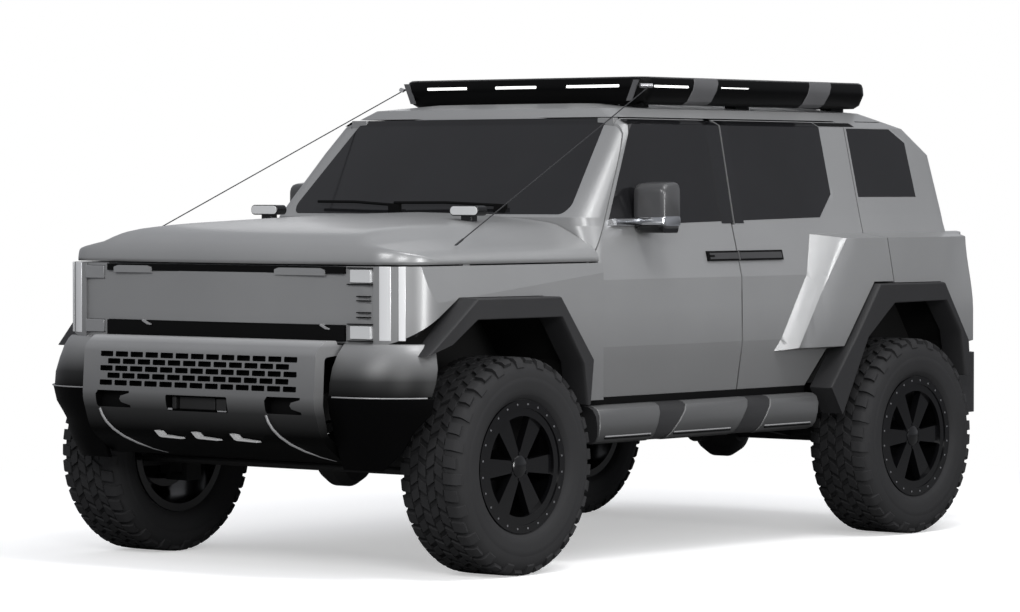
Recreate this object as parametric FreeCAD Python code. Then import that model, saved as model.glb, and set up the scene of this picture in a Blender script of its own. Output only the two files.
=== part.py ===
"""Lifted off-road 4x4: body panels, doors, glass, running gear and fittings, one solid per piece.

Millimetres. +Z is up, the front faces -Y, the vehicle's left is +X.
The origin is on the ground, midway between the bumpers and between the wheels.
"""
import FreeCAD
import Part
import math
import os

# Stance and wheels
wheelbase = 2808.0
track_half = 953.0
tyre_radius = 442.0
tyre_width = 316.0
tread_width = 256.0
rim_radius = 269.0
rim_width = 274.0
barrel_radius = 245.7
barrel_wall = 9.0
bead_lip = 10.0
ring_inner_radius = 204.0
ring_depth = 18.0
hub_radius = 62.0
spoke_count = 6
spoke_root_width = 46.0
spoke_tip_width = 84.0
spoke_depth = 34.0
disc_radius = 165.0
disc_width = 22.0
spindle_radius = 30.0
running_gap = 0.05
seat_gap = 0.3

# Steering
kingpin_half = 860.0
kingpin_radius = 14.0
steer_clearance = 6.0
yoke_height = 132.0
yoke_eye = 28.0
yoke_gap = 1.2
yoke_width = 90.0
yoke_plate = 24.0
knuckle_width = 60.0
knuckle_depth = 90.0
knuckle_half_height = 104.0
steer_arm_length = 180.0
steer_arm_width = 40.0
steer_arm_plate = 22.0
steer_arm_drop = 45.0
tie_rod_radius = 16.0
tie_stud_radius = 9.0

hub_face_half = 900.0
spindle_end_half = 1040.0
yoke_back_half = 735.0
tail_flange_half = 858.0
column_length = 330.0
column_radius = 26.0
wheel_boss_radius = 55.0
bench_width = 1180.0

# Axles and springs
axle_tube_radius = 42.0
front_diff_radius = 122.0
front_diff_side = 130.0
rear_diff_radius = 135.0
diff_shares = [(0.82, 0.45), (0.62, 0.78), (0.25, 0.98)]
pinion_radius = 55.0
pinion_reach = 215.0
spring_radius = 62.0
spring_pitch = 34.0
spring_turns = 5
damper_radius = 15.0
damper_rod_radius = 12.0
damper_side = 541.0
link_radius = 22.0
link_reach = 760.0
link_side = 402.0

# Frame
rail_half = 460.0
rail_width = 70.0
rail_height = 110.0
rail_low = 560.0
rail_high = 722.0
rail_end = 630.0
rail_front_y = -2030.0
rail_rear_y = 2030.0
member_height = 70.0
member_width = 80.0

rise_flat = 250.0
rise_reach = 420.0

# Engine, drive and tank
gearbox_half = 95.0
gearbox_rear_y = -180.0
gearbox_floor = 640.0
gearbox_top = 850.0
transfer_floor = 580.0
transfer_top = 684.0
transfer_mount_y = -330.0
transfer_length = 300.0
shaft_height = 630.0
shaft_radius = 30.0
tunnel_half = 165.0
tunnel_rear_y = -60.0
tunnel_top = 880.0
floor_sheet = 20.0
load_front_y = 1000.0
tank_inner = 90.0
tank_outer = 370.0
tank_floor = 470.0
tank_top = 689.7
tank_front_y = 200.0
tank_rear_y = 800.0
silencer_side = 270.0
silencer_height = 609.7
silencer_radius = 80.0

# Body heights
sill_floor = 600.0
sill_top = 682.0
door_foot = 690.0
waist = 900.0
shoulder = 1180.0
pillar_foot = 1262.0
belt = 1404.0
cowl = 1440.0
door_head = 1860.0
cant = 1835.0
tail_knee = 1715.0
roof_edge = 1905.0
roof_top = 1930.0
floor_height = 690.0
load_floor_height = 842.0

# Body half widths
sill_half = 916.0
waist_half = 962.0
shoulder_half = 958.0
belt_half = 903.0
cowl_half = 894.0
knee_half = 832.0
cant_half = 805.0
roof_edge_half = 668.0
roof_top_half = 430.0
fender_half = 988.0
flare_half = 1045.0
front_trim_half = 1080.0
rear_trim_half = 1056.0

# Body stations along the length
half_length = 2175.0
nose_y = -2012.0
nose_side_y = -1980.0
cowl_y = -745.0
header_y = -372.0
roof_front_y = -270.0
roof_rear_y = 1610.0
roof_cut_y = 1602.0
tail_top_y = 1765.0
tail_knee_y = 1938.0
tail_belt_y = 1965.0
tail_y = 1990.0
tail_foot_y = 1975.0
door_front_y = -722.0
door_split_front_y = 251.0
door_split_rear_y = 260.0
door_rear_y = 1232.0
door_rear_foot_y = 1290.0
corner_radius = 100.0
pillar_radius = 100.0
pillar_head_radius = 58.0
nose_radius = 190.0
screen_bulge = 24.0
tail_bulge = 45.0

# Walls and gaps
shut_gap = 6.0
seam = 0.6
skin = 12.0
low_wall = 95.0
high_wall = 55.0
roof_wall = 45.0
shut_step = 14.0
glass_wall = 5.7
glass_rebate = 6.0
glass_lap = 26.0
hood_wall = 26.0
panel_wall = 60.0
overrun = 60.0

# Front end
hood_floor = 1258.0
hood_skirt = 1275.0
hood_side = 1330.0
hood_shoulder = 1412.0
hood_crown = 1476.0
hood_front_top = 1400.0
hood_rear_top = 1462.0
hood_side_half = 905.0
hood_shoulder_half = 745.0
fender_top = 1252.0
front_floor = 945.0
front_panel_half = 798.0
slot_half = 661.0
slot_depth = 42.0
upper_slot_floor = 1222.0
lower_slot_floor = 952.0
lower_slot_top = 1018.0
lamp_inner = 684.0
lamp_outer = 796.0
lamp_height = 56.0
upper_lamp_floor = 1185.0
lower_lamp_floor = 961.0

fender_shoulder = 1090.0
fender_side = 964.0
fender_rear_y = -728.0
fender_inner_round = 90.0
pad_length = 40.0
pad_width = 20.0
hood_rear_y = -751.0
hood_nose = 1290.0
hood_nose_top_y = -1925.0
hood_mid_y = -1600.0
hood_mid = 1428.0
hood_lip_radius = 28.0
hood_brow_radius = 90.0
hood_edge_radius = 60.0
lamp_depth = 34.0
lamp_proud = 3.0

# Front bumper
bumper_half = 643.0
bumper_top = 938.0
bumper_face_y = -2143.0
bumper_lip_y = -2175.0
bumper_foot = 465.0
bumper_wall = 38.0
mesh_half = 554.0
mesh_floor = 752.0
mesh_top = 892.0
mesh_plate = 8.0
winch_half = 170.0
winch_floor = 658.0
winch_top = 722.0
hook_inner = 377.0
hook_outer = 569.0
hook_depth = 26.0
corner_floor = 735.0
corner_half = 1066.0
skirt_floor = 415.0

bumper_back_y = -1905.0
bumper_brow_y = -2102.0
bumper_chin_y = -2085.0
bumper_chin = 540.0
bumper_heel_y = -1985.0
bumper_lip_top = 702.0
bumper_lip_foot = 655.0
corner_face_y = -2128.0
corner_tip_y = -1868.0
corner_back_y = -2050.0
corner_round = 130.0
skirt_tip_y = -1900.0
skirt_half = 1010.0
bracket_width = 60.0
front_trim_space = 954.0

# Rear bumper
rear_bumper_face_y = 2165.0
rear_bumper_back_y = 2040.0
rear_bumper_tip_y = 1888.0
rear_bumper_round = 110.0
rear_bumper_inner = 880.0
rear_bumper_floor = 520.0
rear_bumper_top = 798.0
rear_bumper_half = 950.0
tow_eye_half = 420.0
tow_eye_y = 2120.0
tow_eye_height = 488.0
tow_eye_radius = 30.0
tow_eye_bore = 14.0
tow_eye_plate = 24.0

# Steps, rack and lamps
step_front_y = -840.0
step_rear_y = 860.0
step_floor = 500.0
step_top = 660.0
step_inner = 932.0
step_outer = 1030.0
rack_half = 690.0
rack_front_y = -100.0
rack_rear_y = 1610.0
rack_floor = 1955.0
rack_top = 2045.0
rack_rail = 70.0
rack_corner = 70.0
slat_count = 8
slat_width = 70.0
slat_thickness = 22.0
rack_foot_half = 560.0
rack_foot_width = 60.0
ditch_inner = 476.0
ditch_outer = 639.0
ditch_floor = 1444.0
ditch_top = 1491.0
ditch_y = -1110.0
ditch_depth = 70.0
mirror_inner = 905.0
mirror_outer = 1065.0
mirror_front_y = -440.0
mirror_rear_y = -312.0
mirror_floor = 1372.0
mirror_top = 1595.0
cable_radius = 2.5
cable_top_half = 700.0
cable_top_y = -60.0
cable_top_height = 2005.0
cable_pin_half = 685.6
cable_pin_radius = 4.5
ferrule_share = 0.05
cable_foot_half = 900.0
cable_foot_y = -1620.0
cable_foot_height = 1322.0

# Wheel arches, as shares of the tyre's radius from the axle and from the ground
front_arch_shares = [(-1.462, 2.032), (-0.611, 2.548), (0.611, 2.543), (1.100, 1.937), (1.011, 1.523)]
front_opening_shares = [(0.937, 1.523), (0.905, 1.925), (0.595, 2.348), (-0.584, 2.348), (-0.919, 2.134)]
rear_arch_shares = [(-1.457, 1.538), (-0.597, 2.575), (0.602, 2.572), (1.054, 1.950), (1.088, 1.584)]
rear_opening_shares = [(0.964, 1.584), (0.873, 2.059), (0.602, 2.376), (-0.310, 2.364), (-0.778, 2.036),
                       (-1.231, 1.267)]
trim_bevel = 18.0
trim_inner_half = 955.0
housing_wall = 10.0
front_housing_inner = 560.0
rear_housing_inner = 735.0
housing_floor = 700.0

# Box flare over each rear wheel
flare_root_half = 880.0
flare_foot = 850.0
flare_top = 1352.0
flare_foot_y = 430.0
flare_top_y = 790.0
flare_run = 150.0
flare_slope = 12.0
flare_tail_y = 2050.0
flare_round = 230.0

# Side windows and handles
belt_rise = 28.0
side_glass_front_y = -618.0
side_glass_knee_y = -362.0
side_glass_knee = 1794.0
side_glass_head_y = -340.0
side_glass_top = 1846.0
side_glass_split_y = 226.0
rear_glass_front_y = 288.0
rear_glass_head_y = 310.0
rear_glass_foot_y = 925.0
rear_glass_corner_y = 1040.0
rear_glass_corner = 1535.0
pillar_head_y = -362.0
pillar_knee_y = -384.0
mirror_post_y = -642.0
split_head_front_y = 238.0
split_head_rear_y = 300.0
quarter_glass_front_y = 1252.0
quarter_glass_floor = 1522.0
quarter_glass_tail_y = 1713.0
quarter_glass_knee_y = 1700.0
quarter_glass_knee = 1770.0
quarter_glass_head_y = 1590.0
quarter_glass_top = 1832.0
handle_front_y = 33.0
handle_rear_y = 573.0
handle_floor = 1252.0
handle_top = 1289.0
handle_rise = 8.0
door_axis_half = 966.0
rear_door_axis_half = 1049.0
door_inner_low = 800.0
door_inner_high = 640.0
door_corner_half = 745.0
post_front_y = 205.0
post_rear_y = 305.0
hinge_pillar_inner = 800.0
hinge_pillar_reach = 50.0
fender_inner = 894.0
post_wall = 42.0

# Windshield and tail
screen_foot_half = 787.0
screen_foot = 1452.0
screen_head_half = 690.0
screen_head = 1862.0
screen_round = 45.0
screen_lap = 30.0
tailgate_half = 745.0
tailgate_floor = 806.0
rail_space = 515.0
tail_glass_half = 640.0
tail_glass_floor = 1400.0
tail_glass_head_half = 590.0
tail_glass_head = 1800.0
tail_lamp_inner = 772.0
tail_lamp_outer = 900.0
tail_lamp_floor = 1040.0
tail_lamp_top = 1300.0
lamp_rise = 4.0
lamp_set = 20.0

# Cabin
dash_top = 1330.0
dash_floor = 1010.0
dash_rear_y = -330.0
dash_half = 770.0
wheel_side = 380.0
wheel_y = -60.0
wheel_height = 1225.0
wheel_radius = 182.0
wheel_rim_radius = 14.0
wheel_lean = 25.0
seat_side = 390.0
seat_width = 500.0
seat_height = 1035.0
front_seat_y = 0.0
rear_seat_y = 640.0
seat_depth = 450.0
seat_pad = 130.0
seat_back_height = 560.0
engine_half = 290.0
engine_front_y = -1790.0
engine_rear_y = -1060.0
engine_floor = 700.0
engine_top = 1190.0

front_axle_y = -wheelbase / 2
rear_axle_y = wheelbase / 2
LEFT = 1
RIGHT = -1


def vec(x, y, z):
    """A point or direction."""
    return FreeCAD.Vector(x, y, z)


def lay(plane, level, a, b):
    """The point (a, b) of a drawing plane that stands at the given level."""
    if plane == "XY":
        return vec(a, b, level)
    if plane == "XZ":
        return vec(a, level, b)
    return vec(level, a, b)


def normal(plane):
    """The positive direction square to a drawing plane."""
    return {"XY": vec(0, 0, 1), "XZ": vec(0, 1, 0), "YZ": vec(1, 0, 0)}[plane]


def unit(a, b):
    """The flat direction (a, b) made one long."""
    size = math.hypot(a, b)
    return a / size, b / size


def rounded_wire(points, plane, level, radii=None, bows=None):
    """A closed outline through flat points, each corner rounded, and some sides bowed by a shift."""
    count = len(points)
    radii = radii or [0] * count
    bows = bows or {}
    corners = []
    for i, (a, b) in enumerate(points):
        if not radii[i]:
            corners.append(((a, b), None, (a, b)))
            continue
        before = points[i - 1]
        after = points[(i + 1) % count]
        back = unit(before[0] - a, before[1] - b)
        ahead = unit(after[0] - a, after[1] - b)
        half = math.acos(back[0] * ahead[0] + back[1] * ahead[1]) / 2
        run = radii[i] / math.tan(half)
        bisector = unit(back[0] + ahead[0], back[1] + ahead[1])
        depth = radii[i] / math.sin(half) - radii[i]
        start = (a + back[0] * run, b + back[1] * run)
        end = (a + ahead[0] * run, b + ahead[1] * run)
        middle = (a + bisector[0] * depth, b + bisector[1] * depth)
        corners.append((start, middle, end))
    edges = []
    for i, (start, middle, end) in enumerate(corners):
        if middle:
            spots = [lay(plane, level, *spot) for spot in (start, middle, end)]
            edges.append(Part.Arc(*spots).toShape())
        following = corners[(i + 1) % count][0]
        first = lay(plane, level, *end)
        second = lay(plane, level, *following)
        if i in bows:
            halfway = ((end[0] + following[0]) / 2 + bows[i][0], (end[1] + following[1]) / 2 + bows[i][1])
            edges.append(Part.Arc(first, lay(plane, level, *halfway), second).toShape())
        elif first.distanceToPoint(second) > running_gap:
            edges.append(Part.LineSegment(first, second).toShape())
    return Part.Wire(edges)


def prism(points, plane, low, high, radii=None):
    """An outline carried straight from one level to another."""
    face = Part.Face(rounded_wire(points, plane, low, radii))
    return face.extrude(normal(plane) * (high - low))


def box(x, y, z):
    """A block between pairs of x, y and z."""
    corner = vec(min(x), min(y), min(z))
    return Part.makeBox(abs(x[1] - x[0]), abs(y[1] - y[0]), abs(z[1] - z[0]), corner)


def rod(start, end, radius):
    """A round bar between two points."""
    way = end - start
    return Part.makeCylinder(radius, way.Length, start, way)


def inset(points, distance):
    """A straight-sided outline moved inwards by a distance, or outwards by a negative one."""
    count = len(points)
    area = sum(points[i - 1][0] * points[i][1] - points[i][0] * points[i - 1][1] for i in range(count))
    turn = math.copysign(1, area)
    lines = []
    for i in range(count):
        a, b = points[i], points[(i + 1) % count]
        along = unit(b[0] - a[0], b[1] - a[1])
        inward = (-along[1] * turn, along[0] * turn)
        lines.append(((a[0] + inward[0] * distance, a[1] + inward[1] * distance), along))
    moved = []
    for i in range(count):
        (p, u), (q, v) = lines[i - 1], lines[i]
        cross = u[0] * v[1] - u[1] * v[0]
        run = ((q[0] - p[0]) * v[1] - (q[1] - p[1]) * v[0]) / cross
        moved.append((p[0] + u[0] * run, p[1] + u[1] * run))
    return moved


def mirrored(shape):
    """The same shape on the other side of the vehicle."""
    return shape.mirror(vec(0, 0, 0), vec(1, 0, 0))


def both_sides(shape):
    """A left piece and its right twin as one shape."""
    return Part.makeCompound([shape, mirrored(shape)])


def joined(shapes):
    """Several solids fused into one."""
    return shapes[0].multiFuse(shapes[1:]).removeSplitter()


def without(shape, tools):
    """A shape with others cut from it."""
    for tool in tools:
        shape = shape.cut(tool)
    return shape


def save(node, shape):
    """Write one piece."""
    solids = shape.Solids
    shape = solids[0] if len(solids) == 1 else Part.makeCompound(solids)
    print(node, len(solids), round(shape.Volume), shape.isValid())
    shape.exportStep("parts/" + node + ".step")


def ring_of(outer, inner, plane, low, high):
    """The band between two outlines."""
    return prism(outer, plane, low, high).cut(prism(inner, plane, low - overrun, high + overrun))


# The closed cabin as horizontal outlines, joined by straight walls

def cabin_wire(level, inward):
    """One horizontal outline of the cabin, its windshield and tail bowed."""
    height, half, front, rear, front_round, rear_round = level
    half = half - inward
    front = front + inward
    rear = rear - inward
    front_round = max(front_round - inward, front_round / 4)
    rear_round = max(rear_round - inward, rear_round / 4)
    points = [(half, front), (half, rear), (-half, rear), (-half, front)]
    radii = [front_round, rear_round, rear_round, front_round]
    return rounded_wire(points, "XY", height, radii, {1: (0, tail_bulge), 3: (0, -screen_bulge)})


def screen_y(height):
    """Where the windshield's plane is at a height."""
    return cowl_y + (header_y - cowl_y) * (height - cowl) / (cant - cowl)


def cabin_levels():
    """Height, half width, front, rear and corner radii of each outline."""
    edge_y = (header_y + roof_front_y) / 2
    return [
        (sill_floor, sill_half, cowl_y, tail_foot_y, skin, corner_radius),
        (waist, waist_half, cowl_y, tail_y, skin, corner_radius),
        (shoulder, shoulder_half, cowl_y, tail_y, skin, corner_radius),
        (belt, belt_half, cowl_y, tail_belt_y, pillar_radius, corner_radius),
        (cowl, cowl_half, cowl_y, tail_belt_y, pillar_radius, corner_radius),
        (tail_knee, knee_half, screen_y(tail_knee), tail_knee_y, pillar_head_radius, corner_radius),
        (cant, cant_half, header_y, tail_top_y, pillar_head_radius, corner_radius),
        (roof_edge, roof_edge_half, edge_y, roof_rear_y, pillar_head_radius, corner_radius),
        (roof_top, roof_top_half, roof_front_y + corner_radius, roof_rear_y - corner_radius,
         pillar_head_radius, corner_radius),
    ]


def cabin_solid(low_inward, high_inward):
    """The cabin's closed form, moved inwards by one distance below the belt and another above."""
    wires = []
    for level in cabin_levels():
        inward = low_inward if level[0] < belt else high_inward
        wires.append(cabin_wire(level, inward))
    return Part.makeLoft(wires, True, True)


outer_form = cabin_solid(0, 0)
skin_form = cabin_solid(skin, skin)
rebate_form = cabin_solid(glass_rebate, glass_rebate)
glass_form = cabin_solid(glass_wall, glass_wall)
inner_form = cabin_solid(low_wall, high_wall).common(
    box((-half_length, half_length), (-half_length, half_length), (0, roof_top - roof_wall)))
skin_shell = outer_form.cut(skin_form)
body_shell = skin_form.cut(inner_form)
whole_shell = outer_form.cut(inner_form)
rebate_shell = outer_form.cut(rebate_form)
glass_shell = outer_form.cut(glass_form)


def about(shares, axle_y):
    """An arch outline round an axle, from shares of the tyre's radius."""
    return [(axle_y + a * tyre_radius, b * tyre_radius) for a, b in shares]


def belt_at(station):
    """The height of the side windows' lower edge, which rises towards the rear."""
    run = (station - side_glass_front_y) / (rear_glass_foot_y - side_glass_front_y)
    return belt + belt_rise * run


def closed_arch(shares, axle_y):
    """An arch outline carried down to the ground."""
    points = about(shares, axle_y)
    return points + [(points[-1][0], 0), (points[0][0], 0)]


front_arch = closed_arch(front_arch_shares, front_axle_y)
rear_arch = closed_arch(rear_arch_shares, rear_axle_y)

front_door_outline = [
    (door_front_y, door_foot), (door_split_front_y, door_foot), (door_split_front_y, belt),
    (split_head_front_y, door_head), (pillar_head_y, door_head), (pillar_knee_y, side_glass_knee),
    (mirror_post_y, belt), (door_front_y, pillar_foot + shut_gap * 5)]
rear_door_outline = [
    (door_split_rear_y, door_foot), (door_rear_foot_y, door_foot), (door_rear_foot_y, rear_arch[1][1]),
    (door_rear_y, flare_top), (door_rear_y, door_head), (split_head_rear_y, door_head),
    (door_split_rear_y + shut_gap * 3, belt), (door_split_rear_y, belt)]
front_glass_outline = [
    (side_glass_front_y, belt), (side_glass_split_y, belt_at(side_glass_split_y)),
    (side_glass_split_y, side_glass_top), (side_glass_head_y, side_glass_top),
    (side_glass_knee_y, side_glass_knee)]
rear_glass_outline = [
    (rear_glass_front_y, belt_at(rear_glass_front_y)), (rear_glass_foot_y, belt + belt_rise),
    (rear_glass_corner_y, rear_glass_corner), (rear_glass_corner_y, side_glass_top),
    (rear_glass_head_y, side_glass_top)]
quarter_glass_outline = [
    (quarter_glass_front_y, quarter_glass_floor), (quarter_glass_tail_y, quarter_glass_floor),
    (quarter_glass_knee_y, quarter_glass_knee), (quarter_glass_head_y, quarter_glass_top),
    (quarter_glass_front_y, quarter_glass_top)]
screen_outline = [
    (screen_foot_half, screen_foot), (screen_head_half, screen_head),
    (-screen_head_half, screen_head), (-screen_foot_half, screen_foot)]
tail_glass_outline = [
    (tail_glass_half, tail_glass_floor), (tail_glass_head_half, tail_glass_head),
    (-tail_glass_head_half, tail_glass_head), (-tail_glass_half, tail_glass_floor)]


def flare():
    """The box flare over the left rear wheel, bevelled at its front."""
    root = [(flare_foot_y, flare_foot - flare_slope), (flare_top_y, flare_top + flare_slope),
            (half_length, flare_top + flare_slope), (half_length, flare_foot - flare_slope)]
    face = [(flare_foot_y + flare_run, flare_foot + flare_slope), (flare_top_y + flare_run, flare_top - flare_slope),
            (half_length, flare_top - flare_slope), (half_length, flare_foot + flare_slope)]
    wires = [rounded_wire(root, "YZ", flare_root_half), rounded_wire(face, "YZ", flare_half)]
    plan = [(0, 0), (flare_half + overrun, 0), (flare_half + overrun, flare_tail_y), (0, flare_tail_y)]
    rounded = prism(plan, "XY", 0, roof_top, [0, 0, flare_round + overrun, 0])
    return Part.makeLoft(wires, True, True).common(rounded)


def glazed(panel, outline, plane, low, high, lap, rounds=None):
    """A panel with its window cut and rebated, and the glass that fills the rebate."""
    opening = prism(inset(outline, lap), plane, low, high, rounds)
    seat = prism(outline, plane, low, high, rounds)
    pane = prism(inset(outline, seam), plane, low, high, rounds)
    return without(panel, [opening, rebate_shell.common(seat)]), glass_shell.common(pane)


def handle(front, rear):
    """A flush blade handle standing a little off the skin."""
    return handle_shell.common(box((0, half_length), (front, rear), (handle_floor, handle_top)))


def door_zone(outline):
    """The space of a left door's outline, without the cabin's front wall."""
    zone = [(door_inner_low, 0), (half_length, 0), (half_length, half_length), (door_inner_high, half_length),
            (door_inner_high, belt), (door_inner_low, belt)]
    ends = prism(zone, "XZ", -half_length, half_length)
    corner = box((0, door_corner_half), (-half_length, header_y + low_wall), (belt, half_length))
    return prism(outline, "YZ", 0, half_length).common(ends).cut(corner)


def front_door():
    """The left front door and its glass."""
    outer = skin_shell.common(door_zone(front_door_outline))
    core = body_shell.common(door_zone(inset(front_door_outline, shut_step)))
    panel = joined([outer, core, handle(handle_front_y, door_split_front_y)])
    return glazed(panel, front_glass_outline, "YZ", 0, half_length, glass_lap)


def rear_door():
    """The left rear door, with the front of the flare, and its glass."""
    outline = door_zone(rear_door_outline)
    outer = skin_shell.common(outline)
    core = body_shell.common(door_zone(inset(rear_door_outline, shut_step)))
    bulge = flare().cut(skin_form).common(outline)
    panel = joined([outer, core, bulge, handle(door_split_rear_y, handle_rear_y)])
    wheel_side = prism(inset(rear_arch, -shut_gap), "YZ", 0, half_length)
    return glazed(panel.cut(wheel_side), rear_glass_outline, "YZ", 0, half_length, glass_lap)


def quarter_panels():
    """Both rear quarters with their flares, joined below the tailgate."""
    head = door_head + shut_gap
    outline = [(door_rear_foot_y + shut_gap, sill_floor), (half_length, sill_floor), (half_length, roof_top),
               (roof_cut_y + seam, roof_top), (roof_cut_y + seam, head), (door_rear_y + shut_gap, head),
               (door_rear_y + shut_gap, flare_top), (door_rear_foot_y + shut_gap, rear_arch[1][1])]
    side = prism(outline, "YZ", -half_length, half_length)
    walls = whole_shell.common(side)
    bulge = flare().cut(skin_form).common(side)
    half = tailgate_half + shut_gap
    floor = tailgate_floor - shut_gap
    gate = [(-half, floor), (half, floor), (half, half_length), (-half, half_length)]
    opening = prism(gate, "XZ", rear_axle_y, half_length)
    arch = prism(rear_arch, "YZ", -half_length, half_length)
    panel = joined([walls, bulge, mirrored(bulge)])
    under = [box((-rail_space, rail_space), (rear_axle_y, half_length), (0, rail_end + rail_height + shut_gap))]
    for sign in (LEFT, RIGHT):
        under.append(box((sign * (rear_bumper_inner - shut_gap), sign * half_length), (rear_axle_y, half_length),
                         (0, rear_bumper_top + seam)))
    panel = without(panel, [arch, opening, tail_lamp_block(0), mirrored(tail_lamp_block(0))] + under)
    stops = [box((sign * (tail_glass_half - pad_length), sign * tail_glass_half), (tail_belt_y - pad_width, tail_belt_y),
                 (floor - shut_gap, tailgate_floor + shut_step - seat_gap)) for sign in (LEFT, RIGHT)]
    panel = joined([panel] + stops)
    glass = []
    for sign in (LEFT, RIGHT):
        low, high = sorted((0, sign * half_length))
        panel, pane = glazed(panel, quarter_glass_outline, "YZ", low, high, glass_lap)
        glass.append(pane)
    return panel, glass


def tail_lamp_block(gap):
    """The space of the left tail lamp."""
    return box((tail_lamp_inner + gap, tail_lamp_outer - gap), (rear_axle_y + rear_diff_radius, half_length),
               (tail_lamp_floor + gap, tail_lamp_top - gap)).cut(lamp_back)


def tailgate():
    """The tailgate and its glass."""
    gate = [(-tailgate_half, tailgate_floor), (tailgate_half, tailgate_floor),
            (tailgate_half, half_length), (-tailgate_half, half_length)]
    ahead = box((-half_length, half_length), (0, roof_cut_y + shut_gap), (0, half_length))
    outer = skin_shell.common(prism(gate, "XZ", rear_axle_y, half_length)).cut(ahead)
    inner_ahead = box((-half_length, half_length), (0, roof_cut_y + shut_gap + shut_step), (0, half_length))
    core = body_shell.common(prism(inset(gate, shut_step), "XZ", rear_axle_y, half_length)).cut(inner_ahead)
    panel = joined([outer, core])
    return glazed(panel, tail_glass_outline, "XZ", rear_axle_y, half_length, glass_lap, [screen_round] * 4)


def cab_frame():
    """Windshield pillars, cowl beam, roof, centre posts, hinge pillars and sills, welded as one."""
    head = door_head + shut_gap
    outline = [
        (cowl_y - overrun, pillar_foot), (door_front_y - shut_gap, pillar_foot),
        (door_front_y - shut_gap, pillar_foot + shut_gap * 5), (mirror_post_y - shut_gap, belt),
        (pillar_knee_y - shut_gap, side_glass_knee), (pillar_head_y - shut_gap, head),
        (roof_cut_y, head), (roof_cut_y, roof_top), (cowl_y - overrun, roof_top)]
    shell = whole_shell.common(prism(outline, "YZ", -half_length, half_length))
    shell, glass = glazed(shell, screen_outline, "XZ", cowl_y - overrun, 0, screen_lap, [screen_round] * 4)
    low = sill_floor + shut_gap
    high = roof_top - roof_wall / 2
    post_range = prism([(post_front_y, low), (post_rear_y, low), (post_rear_y, high), (post_front_y, high)],
                       "YZ", -half_length, half_length)
    pieces = [shell] + post_shell.common(post_range).Solids
    stops = pad_shell.common(box((-half_length, half_length), (post_front_y, post_rear_y), (handle_floor - pad_length, handle_floor)))
    middle = (door_split_front_y + door_split_rear_y) / 2
    stops = stops.cut(box((-half_length, half_length), (middle - pad_width, middle + pad_width), (0, half_length)))
    pieces += stops.Solids
    for sign in (LEFT, RIGHT):
        pillar = box((sign * hinge_pillar_inner, sign * (fender_inner - seam)),
                     (cowl_y - hinge_pillar_reach, door_front_y - shut_gap), (sill_floor, hood_floor - shut_gap))
        neck = box((sign * hinge_pillar_inner, sign * (fender_inner - seam)),
                   (cowl_y, door_front_y - shut_gap), (hood_floor - shut_gap, pillar_foot + shut_gap))
        sill = box((sign * hinge_pillar_inner, sign * sill_half),
                   (cowl_y - hinge_pillar_reach, flare_top_y), (sill_floor, sill_top))
        sill = sill.cut(prism(rear_arch, "YZ", -half_length, half_length))
        pieces += [pillar, neck, sill]
    return joined(pieces), glass


handle_shell = cabin_solid(-handle_rise, -handle_rise).cut(outer_form)
lamp_front = cabin_solid(-lamp_rise, -lamp_rise)
lamp_back = cabin_solid(lamp_set, lamp_set)
clear_form = cabin_solid(-seat_gap, -seat_gap)
post_outer = cabin_solid(low_wall + shut_gap, high_wall + shut_gap)
post_inner = cabin_solid(low_wall + shut_gap + post_wall, high_wall + shut_gap + post_wall)
post_shell = post_outer.cut(post_inner)
pad_shell = cabin_solid(low_wall + seat_gap, high_wall + seat_gap).cut(post_inner)



# Front of the body

def nose_plan(inward, rear):
    """The rounded nose in plan, from the rear line forward."""
    side = fender_side + shut_gap - inward
    points = [(side, rear), (fender_half - inward, nose_side_y + inward), (0, nose_y + inward),
              (inward - fender_half, nose_side_y + inward), (-side, rear)]
    return points, [0, nose_radius - inward, nose_radius * nose_radius / skin, nose_radius - inward, 0]


def hood_block(inward, floor):
    """The hood's outer form, moved inwards."""
    section = [(fender_side - inward, floor), (fender_side - inward, hood_skirt), (hood_side_half, hood_side),
               (hood_shoulder_half, hood_shoulder), (0, hood_crown), (-hood_shoulder_half, hood_shoulder),
               (-hood_side_half, hood_side), (inward - fender_side, hood_skirt), (inward - fender_side, floor)]
    bends = [0, 0, hood_edge_radius, hood_edge_radius * 2, hood_shoulder_half * 5, hood_edge_radius * 2,
             hood_edge_radius, 0, 0]
    side = [(nose_y - overrun, floor), (nose_y - overrun, hood_nose), (hood_nose_top_y, hood_front_top),
            (hood_mid_y, hood_mid), (hood_rear_y, hood_rear_top), (hood_rear_y, floor)]
    brows = [0, 0, hood_brow_radius, hood_shoulder_half, 0, 0]
    lower = vec(0, 0, -inward)
    across = prism(section, "XZ", nose_y - overrun, hood_rear_y - inward, bends).translated(lower)
    along = prism(side, "YZ", -half_length, half_length, brows).translated(lower)
    plan, rounds = nose_plan(inward, hood_rear_y - inward)
    return across.common(along).common(prism(plan, "XY", floor - overrun, hood_crown, rounds))


def hood():
    """The clamshell hood, open below."""
    shell = hood_block(0, hood_floor)
    return without(shell, [hood_block(hood_wall, hood_floor - overrun), cabin_solid(-shut_gap, -shut_gap)])


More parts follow.
